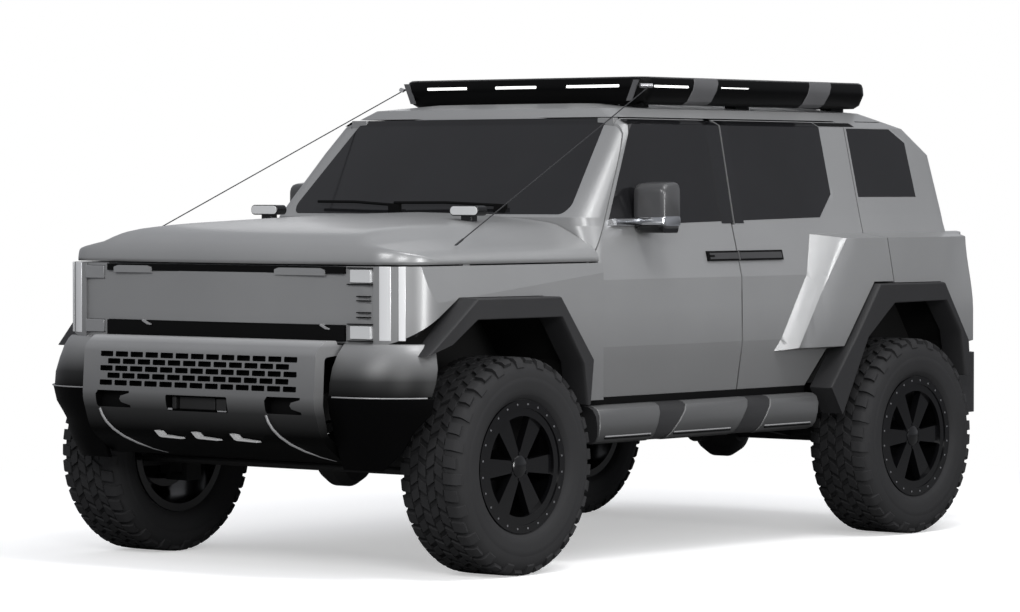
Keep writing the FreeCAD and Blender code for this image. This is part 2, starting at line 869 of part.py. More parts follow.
def fender():
    """The left front fender, rounded at the nose and cut for its wheel."""
    plan, rounds = nose_plan(0, fender_rear_y)
    block = prism(plan, "XY", sill_top + seam, fender_top, rounds)
    block = block.common(box((front_panel_half + seam, half_length), (-half_length, 0), (0, half_length)))
    hollow = [(0, nose_side_y + panel_wall), (fender_inner, nose_side_y + panel_wall),
              (fender_inner, 0), (0, 0)]
    core = prism(hollow, "XY", 0, half_length, [0, fender_inner_round, 0, 0])
    section = [(0, 0), (fender_half, 0), (fender_half, fender_shoulder), (fender_side, fender_top), (0, fender_top)]
    block = block.cut(core).common(prism(section, "XZ", -half_length, half_length))
    arch = prism(front_arch, "YZ", 0, half_length)
    ahead = box((0, half_length), (-half_length, front_axle_y), (0, front_floor))
    pad = box((fender_side - hood_wall, fender_side - shut_gap), (hood_mid_y - pad_length / 2, hood_mid_y + pad_length / 2),
              (fender_top, hood_floor - seat_gap))
    return joined([without(block, [arch, ahead]), pad])


def front_panel():
    """The flat shield between the fenders, with its two long slots and lamp seats."""
    plan, rounds = nose_plan(0, nose_side_y + panel_wall)
    block = prism(plan, "XY", front_floor, fender_top, rounds)
    block = block.common(box((-front_panel_half, front_panel_half), (-half_length, 0), (0, half_length)))
    cuts = [box((-slot_half, slot_half), (nose_y - overrun, nose_y + slot_depth), (upper_slot_floor, half_length)),
            box((-slot_half, slot_half), (nose_y - overrun, nose_y + slot_depth),
                (lower_slot_floor, lower_slot_top))]
    for sign in (LEFT, RIGHT):
        for floor in (upper_lamp_floor, lower_lamp_floor):
            cuts.append(box((sign * lamp_inner, sign * lamp_outer), (nose_y - overrun, nose_y + lamp_depth),
                            (floor, floor + lamp_height)))
    return without(block, cuts)


def headlamps():
    """Four square lamps, slightly proud of the front panel."""
    plan, rounds = nose_plan(-lamp_proud, nose_side_y + panel_wall)
    form = prism(plan, "XY", 0, half_length, rounds)
    lamps = []
    for sign in (LEFT, RIGHT):
        for floor in (upper_lamp_floor, lower_lamp_floor):
            block = box((sign * (lamp_inner + seam), sign * (lamp_outer - seam)),
                        (-half_length, nose_y + lamp_depth - seat_gap), (floor + seam, floor + lamp_height - seam))
            lamps.append(block.common(form))
    return Part.makeCompound(lamps)


# Bumpers

def bumper_outline():
    """The front bumper's side outline."""
    return [(bumper_brow_y, bumper_top), (bumper_face_y, mesh_top), (bumper_face_y, mesh_floor),
            (bumper_lip_y, bumper_lip_top), (bumper_lip_y, bumper_lip_foot), (bumper_chin_y, bumper_chin),
            (bumper_heel_y, bumper_foot), (bumper_back_y, bumper_foot), (bumper_back_y, bumper_top)]


def front_bumper():
    """The hollow centre bumper, with its mesh window, winch slot, hook slots and frame brackets."""
    outline = bumper_outline()
    block = prism(outline, "YZ", -bumper_half, bumper_half)
    hollow = inset(outline, bumper_wall)[:-2] + [(bumper_back_y + overrun, bumper_foot + bumper_wall),
                                                 (bumper_back_y + overrun, bumper_top - bumper_wall)]
    cuts = [prism(hollow, "YZ", -bumper_half - overrun, bumper_half + overrun),
            box((-mesh_half, mesh_half), (-half_length, bumper_brow_y + bumper_wall), (mesh_floor, mesh_top)),
            box((-winch_half, winch_half), (-half_length, bumper_lip_y + hook_depth), (winch_floor, winch_top))]
    for sign in (LEFT, RIGHT):
        cuts.append(box((sign * hook_inner, sign * hook_outer), (-half_length, bumper_lip_y + hook_depth),
                        (winch_floor, winch_top + shut_gap)))
    shell = without(block, cuts)
    brackets = [box((sign * (rail_half - bracket_width / 2), sign * (rail_half + bracket_width / 2)),
                    (rail_front_y - seat_gap, bumper_lip_y + hook_depth + shut_gap),
                    (rail_end + shut_gap, rail_end + bracket_width)) for sign in (LEFT, RIGHT)]
    return joined([shell] + brackets)


def bumper_mesh():
    """The mesh plate in the bumper's window."""
    face = bumper_face_y + shut_gap
    return box((seam - mesh_half, mesh_half - seam), (face, face + mesh_plate), (mesh_floor + seam, mesh_top - seam))


def bumper_corner(half, tip_y, floor, top, set_back):
    """A left bumper corner that wraps from the centre bumper to the wheel arch."""
    inner = bumper_half + seam
    points = [(inner, corner_face_y + set_back), (half, corner_face_y + set_back), (half, tip_y),
              (half - panel_wall, tip_y), (half - panel_wall, corner_back_y + set_back),
              (inner, corner_back_y + set_back)]
    block = prism(points, "XY", floor, top, [0, corner_round + panel_wall, 0, 0, corner_round, 0])
    return block.cut(prism(inset(front_arch, -seam), "YZ", front_trim_space, half_length))


def rear_bumper():
    """The rear bumper, wrapping the corners, with two tow eyes."""
    plan = [(-rear_bumper_half, rear_bumper_tip_y), (-rear_bumper_half, rear_bumper_face_y),
            (0, half_length), (rear_bumper_half, rear_bumper_face_y), (rear_bumper_half, rear_bumper_tip_y),
            (rear_bumper_inner, rear_bumper_tip_y), (rear_bumper_inner, rear_bumper_back_y),
            (-rear_bumper_inner, rear_bumper_back_y), (-rear_bumper_inner, rear_bumper_tip_y)]
    beam = prism(plan, "XY", rear_bumper_floor, rear_bumper_top, [0, rear_bumper_round, 0, rear_bumper_round] + [0] * 5)
    pieces = [beam]
    eye = [(tow_eye_y - tow_eye_radius, rear_bumper_floor + shut_step), (tow_eye_y - tow_eye_radius, tow_eye_height - tow_eye_radius),
           (tow_eye_y + tow_eye_radius, tow_eye_height - tow_eye_radius), (tow_eye_y + tow_eye_radius, rear_bumper_floor + shut_step)]
    for sign in (LEFT, RIGHT):
        low = sign * tow_eye_half - tow_eye_plate / 2
        plate = prism(eye, "YZ", low, low + tow_eye_plate, [0, tow_eye_radius - seam, tow_eye_radius - seam, 0])
        hole = rod(vec(low - shut_step, tow_eye_y, tow_eye_height), vec(low + overrun, tow_eye_y, tow_eye_height), tow_eye_bore)
        pieces.append(plate.cut(hole))
        pieces.append(box((sign * (rail_half - bracket_width / 2), sign * (rail_half + bracket_width / 2)),
                          (rail_rear_y + seat_gap, rear_bumper_back_y + shut_gap),
                          (rail_end + shut_gap, rail_end + bracket_width)))
    return joined(pieces)


# Arches and steps

def arch_trim(arch_shares, opening_shares, axle_y, half):
    """A left arch trim: the band between the arch and its opening, bevelled outside."""
    band = about(arch_shares, axle_y) + about(opening_shares, axle_y)
    band = inset(band, seam)
    wires = [rounded_wire(band, "YZ", trim_inner_half), rounded_wire(band, "YZ", half - trim_bevel),
             rounded_wire(inset(band, trim_bevel / 2), "YZ", half)]
    return Part.makeLoft(wires, True, True)


def steer_room():
    """The ball that the left front tyre stays inside as it turns and steers."""
    reach = math.hypot(track_half - kingpin_half + tread_width / 2, tyre_radius)
    return Part.makeSphere(reach + steer_clearance, vec(kingpin_half, front_axle_y, tyre_radius))


def wheel_housing(arch, inner_half, front_limit):
    """A left wheel housing: an arched tub with an inboard wall."""
    tub = inset(arch, seam)
    lining = inset(arch, seam + housing_wall)
    tunnel = ring_of(tub, lining, "YZ", inner_half, trim_inner_half - seat_gap)
    wall = prism(tub, "YZ", inner_half, inner_half + housing_wall)
    keep = box((0, half_length), (front_limit, half_length), (housing_floor, half_length))
    return tunnel.fuse(wall).common(keep).removeSplitter()


def side_step():
    """A left side step with brackets to the frame."""
    section = [(step_inner, step_floor + shut_step), (step_outer, step_floor), (step_outer, step_top - overrun / 2),
               (step_outer - overrun, step_top), (step_inner, step_top)]
    rounds = [0, shut_step, shut_step, shut_step * 2, 0]
    bar = prism(section, "XZ", step_front_y, step_rear_y, rounds)
    reach = rail_half + rail_width / 2 + seat_gap
    brackets = []
    for share in (0.1, 0.5, 0.9):
        y = step_front_y + (step_rear_y - step_front_y) * share
        brackets.append(box((reach, step_inner + shut_step), (y - bracket_width / 2, y + bracket_width / 2),
                            (rail_low + shut_gap, sill_floor - shut_gap)))
    return joined([bar.cut(prism(inset(rear_arch, -seam), "YZ", 0, half_length))] + brackets)


# Roof rack and outside fittings

def rack_ring(level, inward):
    """A rounded outline of the rack."""
    half = rack_half - inward
    points = [(half, rack_front_y + inward), (half, rack_rear_y - inward),
              (-half, rack_rear_y - inward), (-half, rack_front_y + inward)]
    return rounded_wire(points, "XY", level, [max(rack_corner - inward, shut_step)] * 4)


def roof_rack():
    """The rack: a chamfered ring beam, deck slats and feet on the roof."""
    middle = (rack_floor + rack_top) / 2
    wires = [rack_ring(rack_floor, rack_rail / 2), rack_ring(middle, 0), rack_ring(rack_top, 0)]
    ring = Part.makeLoft(wires, True, True)
    hollow = Part.Face(rack_ring(rack_floor - overrun, rack_rail)).extrude(vec(0, 0, overrun * 4))
    pieces = [ring.cut(hollow)]
    length = rack_rear_y - rack_front_y
    for i in range(slat_count):
        y = rack_front_y + length * (i + 0.5) / slat_count
        pieces.append(box((shut_step - rack_half + rack_rail / 2, rack_half - rack_rail / 2 - shut_step),
                          (y - slat_width / 2, y + slat_width / 2), (rack_top - slat_thickness - shut_gap, rack_top - shut_gap)))
    for sign in (LEFT, RIGHT):
        for i in (0, slat_count // 2, slat_count - 1):
            y = rack_front_y + length * (i + 0.5) / slat_count
            foot = box((sign * (rack_foot_half - rack_foot_width / 2), sign * (rack_foot_half + rack_foot_width / 2)),
                       (y - slat_width / 2, y + slat_width / 2), (roof_edge - overrun, rack_top - slat_thickness))
            pieces.append(foot.cut(clear_form))
    return joined(pieces)


def ditch_lamps():
    """Two slim lamps on feet on the hood."""
    lamps = []
    hood_form = hood_block(0, hood_floor).translated(vec(0, 0, seat_gap))
    for sign in (LEFT, RIGHT):
        body = box((sign * ditch_inner, sign * ditch_outer), (ditch_y - ditch_depth / 2, ditch_y + ditch_depth / 2),
                   (ditch_floor + shut_gap, ditch_top))
        middle = sign * (ditch_inner + ditch_outer) / 2
        foot = box((middle - shut_step, middle + shut_step), (ditch_y - shut_step, ditch_y + shut_step),
                   (hood_shoulder - overrun, ditch_top - shut_gap))
        lamps.append(body.fuse(foot).cut(hood_form).removeSplitter())
    return Part.makeCompound([lamp.Solids[0] for lamp in lamps])


def mirror():
    """The left mirror: a housing on an arm at the foot of the side glass."""
    section = [(mirror_inner, mirror_floor), (mirror_outer, mirror_floor), (mirror_outer, mirror_top),
               (mirror_inner, mirror_top)]
    housing = prism(section, "XZ", mirror_front_y, mirror_rear_y, [shut_step * 2] * 4)
    arm = box((cant_half, mirror_inner + overrun), (mirror_front_y - overrun * 2, mirror_front_y + shut_step),
              (belt, cowl))
    return housing.fuse(arm).cut(clear_form).removeSplitter()


def limb_cable():
    """A left limb cable from the rack's corner to the hood's edge, with a pin through the rack's eye."""
    top = vec(cable_top_half, cable_top_y, cable_top_height)
    foot = vec(cable_foot_half, cable_foot_y, cable_foot_height)
    pin = rod(vec(cable_top_half + cable_radius, cable_top_y, cable_top_height),
              vec(cable_pin_half, cable_top_y, cable_top_height), cable_pin_radius)
    ferrule = rod(foot + (top - foot) * ferrule_share, foot, cable_pin_radius)
    above = hood_block(0, hood_floor).translated(vec(0, 0, seat_gap))
    return joined([rod(top, foot, cable_radius), pin, ferrule]).cut(above)


# Wheels

def turned(points, centre):
    """A ring turned about the wheel's axis from (x, radius) points."""
    wire = rounded_wire(points, "XZ", 0)
    return Part.Face(wire).revolve(vec(0, 0, 0), vec(1, 0, 0), 360).translated(centre)


def tyre(centre):
    """One tyre."""
    half = tyre_width / 2
    tread = tread_width / 2
    seat = rim_width / 2 - bead_lip - seat_gap
    shares = [(1, 0.78), (0.975, 0.915), (0.905, 0.975)]
    wall = [(half * a, tyre_radius * b) for a, b in shares]
    side = [(seat, barrel_radius + seat_gap), (seat, rim_radius + seat_gap), (half * 0.93, rim_radius + bead_lip)] + wall
    points = side + [(tread, tyre_radius)]
    points += [(-a, b) for a, b in reversed(points)]
    return turned(points, centre)


def rim(centre, sign):
    """One rim with its beaded ring, spokes, hub and brake disc, bored for the spindle."""
    half = rim_width / 2
    inner = barrel_radius - barrel_wall
    barrel = turned([(-half, inner), (half, inner), (half, rim_radius), (half - bead_lip, rim_radius),
                     (half - bead_lip, barrel_radius), (bead_lip - half, barrel_radius),
                     (bead_lip - half, rim_radius), (-half, rim_radius)], vec(0, 0, 0))
    face = half - bead_lip / 2
    ring = turned([(face - ring_depth, ring_inner_radius), (face, ring_inner_radius), (face, inner + running_gap),
                   (face - ring_depth, inner + running_gap)], vec(0, 0, 0))
    pieces = [barrel, ring]
    spoke = [(hub_radius / 2, -spoke_root_width / 2), (hub_radius / 2, spoke_root_width / 2),
             (ring_inner_radius + bead_lip, spoke_tip_width / 2), (ring_inner_radius + bead_lip, -spoke_tip_width / 2)]
    blade = prism([(b, a) for a, b in spoke], "YZ", face - spoke_depth - shut_step, face - shut_step)
    for i in range(spoke_count):
        pieces.append(blade.rotated(vec(0, 0, 0), vec(1, 0, 0), 90 + 360 * i / spoke_count))
    hub_inner = hub_face_half - track_half
    pieces.append(turned([(hub_inner, 0), (face - spoke_root_width / 2, 0), (face - spoke_root_width / 2, hub_radius),
                          (hub_inner, hub_radius)], vec(0, 0, 0)))
    pieces.append(turned([(hub_inner, 0), (hub_inner + disc_width, 0), (hub_inner + disc_width, disc_radius),
                          (hub_inner, disc_radius)], vec(0, 0, 0)))
    bore = rod(vec(hub_inner - overrun, 0, 0), vec(spindle_end_half - track_half + running_gap, 0, 0),
               spindle_radius + running_gap)
    wheel = joined(pieces).cut(bore)
    if sign < 0:
        wheel = mirrored(wheel)
    return wheel.translated(centre)


# Steering and axles

def at_axle(shape, axle_y):
    """A shape drawn about the axle line, moved to its place."""
    return shape.translated(vec(0, axle_y, tyre_radius))


def knuckle():
    """The left steering knuckle: block, spindle, caliper and steering arm."""
    block = box((kingpin_half - knuckle_width / 2, kingpin_half + knuckle_width / 2),
                (-knuckle_depth / 2, knuckle_depth / 2), (-knuckle_half_height, knuckle_half_height))
    spindle = rod(vec(kingpin_half, 0, 0), vec(spindle_end_half, 0, 0), spindle_radius)
    arm_top = -steer_arm_drop
    outline = [(kingpin_half - steer_arm_width / 2, 0), (kingpin_half - steer_arm_width / 2, -steer_arm_length - steer_arm_width / 2),
               (kingpin_half + steer_arm_width / 2, -steer_arm_length - steer_arm_width / 2), (kingpin_half + steer_arm_width / 2, 0)]
    arm = prism(outline, "XY", arm_top - steer_arm_plate, arm_top, [0, steer_arm_width / 3, steer_arm_width / 3, 0])
    plate = box((kingpin_half, kingpin_half + knuckle_width / 2 + seam), (0, disc_radius + shut_step),
                (-knuckle_depth / 2, knuckle_depth / 2))
    inner_face = kingpin_half + knuckle_width / 2
    caliper = box((kingpin_half, hub_face_half + disc_width + shut_gap * 4), (disc_radius - knuckle_depth / 2, disc_radius + shut_step),
                  (-knuckle_depth / 2, knuckle_depth / 2))
    slot = rod(vec(hub_face_half - shut_gap, 0, 0), vec(hub_face_half + disc_width + shut_gap, 0, 0), disc_radius + shut_gap)
    body = joined([block, arm, plate, caliper]).cut(slot)
    eye = rod(vec(kingpin_half, -steer_arm_length, -overrun * 2), vec(kingpin_half, -steer_arm_length, overrun),
              tie_stud_radius + seat_gap)
    pins = rod(vec(kingpin_half, 0, -half_length), vec(kingpin_half, 0, half_length), kingpin_radius + running_gap)
    keep = box((0, half_length), (-half_length, half_length),
               (-knuckle_half_height + yoke_plate, knuckle_half_height - yoke_plate))
    body = body.cut(eye).cut(pins.cut(keep))
    return at_axle(body.fuse(spindle).removeSplitter(), front_axle_y)


def tie_rod():
    """The bar that joins both steering arms, with a stud at each end."""
    level = -steer_arm_drop + tie_rod_radius + seat_gap
    bar = rod(vec(-kingpin_half, -steer_arm_length, level), vec(kingpin_half, -steer_arm_length, level), tie_rod_radius)
    pieces = [bar]
    for sign in (LEFT, RIGHT):
        pieces.append(rod(vec(sign * kingpin_half, -steer_arm_length, level),
                          vec(sign * kingpin_half, -steer_arm_length, -steer_arm_drop - steer_arm_plate), tie_stud_radius))
    return at_axle(joined(pieces), front_axle_y)


def yoke():
    """The left yoke at the end of the front axle, with its two king pins."""
    back = yoke_back_half
    plate = box((back, back + yoke_plate), (-yoke_width / 2, yoke_width / 2), (-yoke_height, yoke_height))
    pieces = [plate]
    arm = [(back, -yoke_width / 2), (kingpin_half + yoke_eye, -yoke_eye), (kingpin_half + yoke_eye, yoke_eye),
           (back, yoke_width / 2)]
    for sign in (LEFT, RIGHT):
        low, high = sorted((sign * (knuckle_half_height + yoke_gap), sign * yoke_height))
        pieces.append(prism(arm, "XY", low, high, [0, yoke_eye - seam, yoke_eye - seam, 0]))
        pieces.append(rod(vec(kingpin_half, 0, sign * yoke_height),
                          vec(kingpin_half, 0, sign * (knuckle_half_height - yoke_plate + seat_gap)), kingpin_radius))
    return joined(pieces)


def axle(side, diff_radius, tube_half, nose):
    """An axle tube with its differential, drawn about the axle line."""
    tube = rod(vec(-tube_half, 0, 0), vec(tube_half, 0, 0), axle_tube_radius)
    drum = [(-diff_radius * wide, diff_radius * tall) for wide, tall in diff_shares]
    drum += [(-a, b) for a, b in reversed(drum)]
    cover = turned([(drum[0][0], 0)] + drum + [(drum[-1][0], 0)], vec(side, 0, 0))
    pinion = rod(vec(side, 0, 0), vec(side, nose * pinion_reach, 0), pinion_radius)
    seats = []
    for sign in (LEFT, RIGHT):
        seats.append(box((sign * (rail_half - spring_radius), sign * (damper_side + damper_radius)),
                         (-axle_tube_radius, axle_tube_radius), (0, axle_tube_radius + shut_step)))
    return joined([tube, cover, pinion] + seats)


def front_axle():
    """The front axle with its yokes."""
    body = axle(front_diff_side, front_diff_radius, yoke_back_half + shut_step, 1)
    return at_axle(joined([body, yoke(), mirrored(yoke())]), front_axle_y)


def rear_axle():
    """The rear axle with its spindles and caliper plates."""
    body = axle(0, rear_diff_radius, kingpin_half, -1)
    pieces = [body]
    for sign in (LEFT, RIGHT):
        pieces.append(rod(vec(sign * tail_flange_half, 0, 0), vec(sign * spindle_end_half, 0, 0), spindle_radius))
        plate = box((sign * tail_flange_half, sign * (hub_face_half - shut_gap)),
                    (0, disc_radius + shut_step), (-knuckle_depth / 2, knuckle_depth / 2))
        pieces.append(plate)
    return at_axle(joined(pieces), rear_axle_y)


def suspension():
    """Coil springs, dampers and control links of both axles."""
    pieces = []
    seat = tyre_radius + axle_tube_radius + shut_step + seat_gap
    length = rail_high - seat_gap - seat
    pitch = length / spring_turns
    for axle_y, way in ((front_axle_y, 1), (rear_axle_y, -1)):
        for sign in (LEFT, RIGHT):
            points = [(0, seat)]
            for i in range(spring_turns):
                points.append((spring_radius - shut_step, seat + pitch * i))
                points.append((spring_radius, seat + pitch * (i + 0.5)))
            points += [(spring_radius - shut_step, seat + length), (0, seat + length)]
            wire = rounded_wire(points, "XZ", 0)
            coil = Part.Face(wire).revolve(vec(0, 0, 0), vec(0, 0, 1), 360)
            pieces.append(coil.translated(vec(sign * rail_half, axle_y, 0)))
            pieces.append(rod(vec(sign * damper_side, axle_y, seat), vec(sign * damper_side, axle_y, rail_high - seat_gap),
                              damper_radius))
            start = axle_y + way * (axle_tube_radius + seat_gap)
            end = axle_y + way * link_reach
            link = [(start, tyre_radius - link_radius), (start, tyre_radius + link_radius),
                    (end, rail_low + link_radius * 2), (end, rail_low)]
            pieces.append(prism(link, "YZ", sign * link_side - link_radius, sign * link_side + link_radius))
    return Part.makeCompound(pieces)


# Frame and drive

def rail():
    """The left frame rail, raised over both axles."""
    low = [(rail_front_y, rail_end), (front_axle_y - rise_reach, rail_end), (front_axle_y - rise_flat, rail_high),
           (front_axle_y + rise_flat, rail_high), (front_axle_y + rise_reach, rail_low),
           (rear_axle_y - rise_reach, rail_low), (rear_axle_y - rise_flat, rail_high),
           (rear_axle_y + rise_flat, rail_high), (rear_axle_y + rise_reach, rail_end), (rail_rear_y, rail_end)]
    high = [(y, z + rail_height) for y, z in reversed(low)]
    return prism(low + high, "YZ", rail_half - rail_width / 2, rail_half + rail_width / 2)


def crossmembers():
    """Members between the rails, with the engine's mounts, damper brackets and body pads."""
    half = rail_half - rail_width / 2 - seat_gap
    pieces = []
    for y, z in ((rail_front_y + member_width, rail_end + shut_gap), (transfer_mount_y, transfer_floor - seat_gap - member_height),
                 (tank_rear_y + member_width * 1.25, rail_low + shut_gap), (rail_rear_y - member_width, rail_end + shut_gap)):
        pieces.append(box((-half, half), (y - member_width / 2, y + member_width / 2), (z, z + member_height)))
    outside = rail_half + rail_width / 2 + seat_gap
    for sign in (LEFT, RIGHT):
        pieces.append(box((sign * (engine_half + seat_gap), sign * half), (front_axle_y - member_width, front_axle_y),
                          (rail_high + shut_gap, rail_high + member_height)))
        for axle_y in (front_axle_y, rear_axle_y):
            pieces.append(box((sign * outside, sign * (damper_side + damper_radius)), (axle_y - damper_radius, axle_y + damper_radius),
                              (rail_high, rail_high + damper_radius)))
        for y in (step_front_y + bracket_width * 3, door_split_rear_y, tank_rear_y):
            pieces.append(box((sign * (rail_half - bracket_width / 2), sign * (rail_half + bracket_width / 2)),
                              (y - bracket_width / 2, y + bracket_width / 2),
                              (rail_low + rail_height + seat_gap, floor_height - seat_gap)))
    return Part.makeCompound(pieces)


def floor_pan():
    """Cabin floor, load floor, firewall and the tunnel over the gearbox."""
    front = cowl_y + shut_step
    sheet = floor_sheet
    half = hinge_pillar_inner - seam
    load_half = rear_housing_inner - seam
    pieces = [box((-half, half), (front, load_front_y), (floor_height, floor_height + sheet)),
              box((-load_half, load_half), (load_front_y - sheet, load_front_y), (floor_height, load_floor_height + sheet)),
              box((-load_half, load_half), (load_front_y - sheet, tail_foot_y - low_wall - seam),
                  (load_floor_height, load_floor_height + sheet)),
              box((-half, half), (front, front + sheet), (floor_height, pillar_foot - seam))]
    shell = joined(pieces)
    arches = prism(inset(rear_arch, -seam), "YZ", -half_length, half_length)
    keep = box((-load_half, load_half), (-half_length, half_length), (0, half_length))
    posts = box((-half_length, half_length), (post_front_y - seam, post_rear_y + seam), (0, half_length))
    shell = without(shell, [arches.cut(keep), posts.cut(keep)])
    tunnel = box((-tunnel_half, tunnel_half), (front, tunnel_rear_y), (floor_height, tunnel_top))
    hollow = box((sheet - tunnel_half, tunnel_half - sheet), (front - overrun, tunnel_rear_y - sheet),
                 (floor_height - overrun, tunnel_top - sheet))
    return joined([shell, tunnel]).cut(hollow)


def engine():
    """The engine as one plain block."""
    return box((-engine_half, engine_half), (engine_front_y, engine_rear_y), (engine_floor, engine_top))


def prop_shaft(start, end):
    """A prop shaft between two upright flanges."""
    way = (end - start).normalize() * overrun
    between = box((-half_length, half_length), (start.y, end.y), (0, half_length))
    return rod(start - way, end + way, shaft_radius).common(between)


def driveline():
    """Gearbox with transfer case, and the prop shafts to both axles."""
    gearbox = box((-gearbox_half, gearbox_half), (engine_rear_y + seat_gap, gearbox_rear_y), (gearbox_floor, gearbox_top))
    transfer = box((-gearbox_half, front_diff_side + pinion_radius), (gearbox_rear_y - transfer_length, gearbox_rear_y),
                   (transfer_floor, transfer_top))
    case = joined([gearbox, transfer])
    front = prop_shaft(vec(front_diff_side, front_axle_y + pinion_reach + seat_gap, tyre_radius),
                       vec(front_diff_side, gearbox_rear_y - transfer_length - seat_gap, shaft_height))
    rear = prop_shaft(vec(0, gearbox_rear_y + seat_gap, shaft_height),
                      vec(0, rear_axle_y - pinion_reach - seat_gap, tyre_radius))
    return Part.makeCompound([case, front, rear])


def fuel_tank():
    """The fuel tank beside the rear prop shaft, and the silencer on the other side."""
    tank = prism([(tank_inner, tank_floor), (tank_outer, tank_floor), (tank_outer, tank_top), (tank_inner, tank_top)],
                 "XZ", tank_front_y, tank_rear_y, [shut_step * 2] * 4)
    silencer = rod(vec(-silencer_side, tank_front_y, silencer_height), vec(-silencer_side, tank_rear_y, silencer_height),
                   silencer_radius)
    return Part.makeCompound([tank, silencer])


# Cabin

def dashboard():
    """The dashboard with its hood over the dials and the steering column."""
    profile = [(cowl_y + shut_step + floor_sheet + seam, dash_top), (dash_rear_y - overrun, dash_top), (dash_rear_y, dash_top - overrun),
               (dash_rear_y - overrun, dash_floor), (cowl_y + shut_step + floor_sheet + seam, dash_floor)]
    block = prism(profile, "YZ", -dash_half, dash_half, [0, shut_step * 2, shut_step * 2, shut_step * 2, 0])
    lean = math.radians(wheel_lean)
    way = vec(0, math.cos(lean), math.sin(lean))
    centre = vec(wheel_side, wheel_y, wheel_height)
    column = rod(centre - way * column_length, centre - way * (wheel_rim_radius + seat_gap), column_radius)
    beam = box((-half_length, half_length), (cowl_y, cowl_y + low_wall + seat_gap), (pillar_foot - seat_gap, dash_top))
    return joined([block.cut(beam), column])


def steering_wheel():
    """The steering wheel: a rim, three spokes and a boss."""
    section = []
    for i in range(8):
        turn = 2 * math.pi * i / 8
        section.append((wheel_radius + wheel_rim_radius * math.cos(turn), wheel_rim_radius * math.sin(turn)))
    ring = Part.Face(rounded_wire(section, "XZ", 0)).revolve(vec(0, 0, 0), vec(0, 0, 1), 360)
    boss = Part.makeCylinder(wheel_boss_radius, wheel_rim_radius * 2, vec(0, 0, -wheel_rim_radius))
    pieces = [ring, boss]
    for turn in (0, 180, 270):
        spoke = box((0, wheel_radius), (-wheel_rim_radius, wheel_rim_radius), (-wheel_rim_radius / 2, wheel_rim_radius / 2))
        pieces.append(spoke.rotated(vec(0, 0, 0), vec(0, 0, 1), turn))
    wheel = joined(pieces)
    wheel = wheel.rotated(vec(0, 0, 0), vec(1, 0, 0), wheel_lean - 90)
    return wheel.translated(vec(wheel_side, wheel_y, wheel_height))


def seat(side, front, width):
    """One seat: cushion, leaned back and headrest."""
    cushion = prism([(front, seat_height - seat_pad), (front + seat_depth, seat_height - seat_pad),
                     (front + seat_depth, seat_height), (front, seat_height)], "YZ", side - width / 2, side + width / 2,
                    [seat_pad / 3] * 4)
    back_y = front + seat_depth - seat_pad / 2
    back = [(back_y, seat_height - seat_pad), (back_y + seat_pad, seat_height - seat_pad),
            (back_y + seat_pad * 1.7, seat_height + seat_back_height), (back_y + seat_pad * 1.1, seat_height + seat_back_height)]
    backrest = prism(back, "YZ", side - width / 2 + shut_step, side + width / 2 - shut_step, [0, 0, seat_pad / 4, seat_pad / 4])
    base = box((side - width / 3, side + width / 3), (front + seat_pad, front + seat_depth - seat_pad),
               (floor_height + floor_sheet + seat_gap, seat_height - seat_pad + shut_gap))
    return joined([cushion, backrest, base])


def seats():
    """Two front seats and a rear bench."""
    return Part.makeCompound([seat(seat_side, front_seat_y, seat_width), seat(-seat_side, front_seat_y, seat_width),
                              seat(0, rear_seat_y, bench_width)])


def tail_lamps():
    """Both tail lamps."""
    lamp = lamp_front.common(tail_lamp_block(seam))
    return both_sides(lamp)


os.makedirs("parts", exist_ok=True)

for name, maker in (("front", front_door), ("rear", rear_door)):
    door, glass = maker()
    save("door_" + name + "_left", door)
    save("door_" + name + "_right", mirrored(door))
    save("glass_" + name + "_left", glass)
    save("glass_" + name + "_right", mirrored(glass))
quarters, quarter_glass = quarter_panels()
frame_shape, screen = cab_frame()
save("quarter_panels", quarters)
save("cab_frame", frame_shape)
save("fixed_glass", Part.makeCompound([screen] + quarter_glass))
gate_panel, gate_glass = tailgate()
save("tailgate", gate_panel)
save("tailgate_glass", gate_glass)
save("hood", hood())
save("ditch_lamps", ditch_lamps())
save("fenders", both_sides(fender()))
save("front_panel", front_panel())
save("headlamps", headlamps())
save("front_bumper", front_bumper())
save("bumper_mesh", bumper_mesh())
save("bumper_corners", both_sides(bumper_corner(corner_half, corner_tip_y, corner_floor, front_floor - seam, 0)))
save("bumper_skirts", both_sides(bumper_corner(skirt_half, skirt_tip_y, skirt_floor, corner_floor - seam, shut_step)))
save("rear_bumper", rear_bumper())
save("tail_lamps", tail_lamps())
front_trim = arch_trim(front_arch_shares, front_opening_shares, front_axle_y, front_trim_half).cut(steer_room())
rear_trim = arch_trim(rear_arch_shares, rear_opening_shares, rear_axle_y, rear_trim_half)
save("arch_trims", Part.makeCompound([front_trim, mirrored(front_trim), rear_trim, mirrored(rear_trim)]))
front_tub = wheel_housing(front_arch, front_housing_inner, bumper_back_y)
rear_tub = wheel_housing(rear_arch, rear_housing_inner, 0)
save("wheel_housings", Part.makeCompound([front_tub, mirrored(front_tub), rear_tub, mirrored(rear_tub)]))
save("side_steps", both_sides(side_step()))
save("roof_rack", roof_rack())
save("mirror_left", mirror())
save("mirror_right", mirrored(mirror()))
save("limb_cable_left", limb_cable())
save("limb_cable_right", mirrored(limb_cable()))
for name, sign, axle_y in (("front_left", LEFT, front_axle_y), ("front_right", RIGHT, front_axle_y),
                           ("rear_left", LEFT, rear_axle_y), ("rear_right", RIGHT, rear_axle_y)):
    centre = vec(sign * track_half, axle_y, tyre_radius)
    save("tyre_" + name, tyre(centre))
    save("rim_" + name, rim(centre, sign))
save("knuckle_left", knuckle())
save("knuckle_right", mirrored(knuckle()))
save("tie_rod", tie_rod())
save("front_axle", front_axle())
save("rear_axle", rear_axle())
save("suspension", suspension())
save("frame_rails", both_sides(rail()))
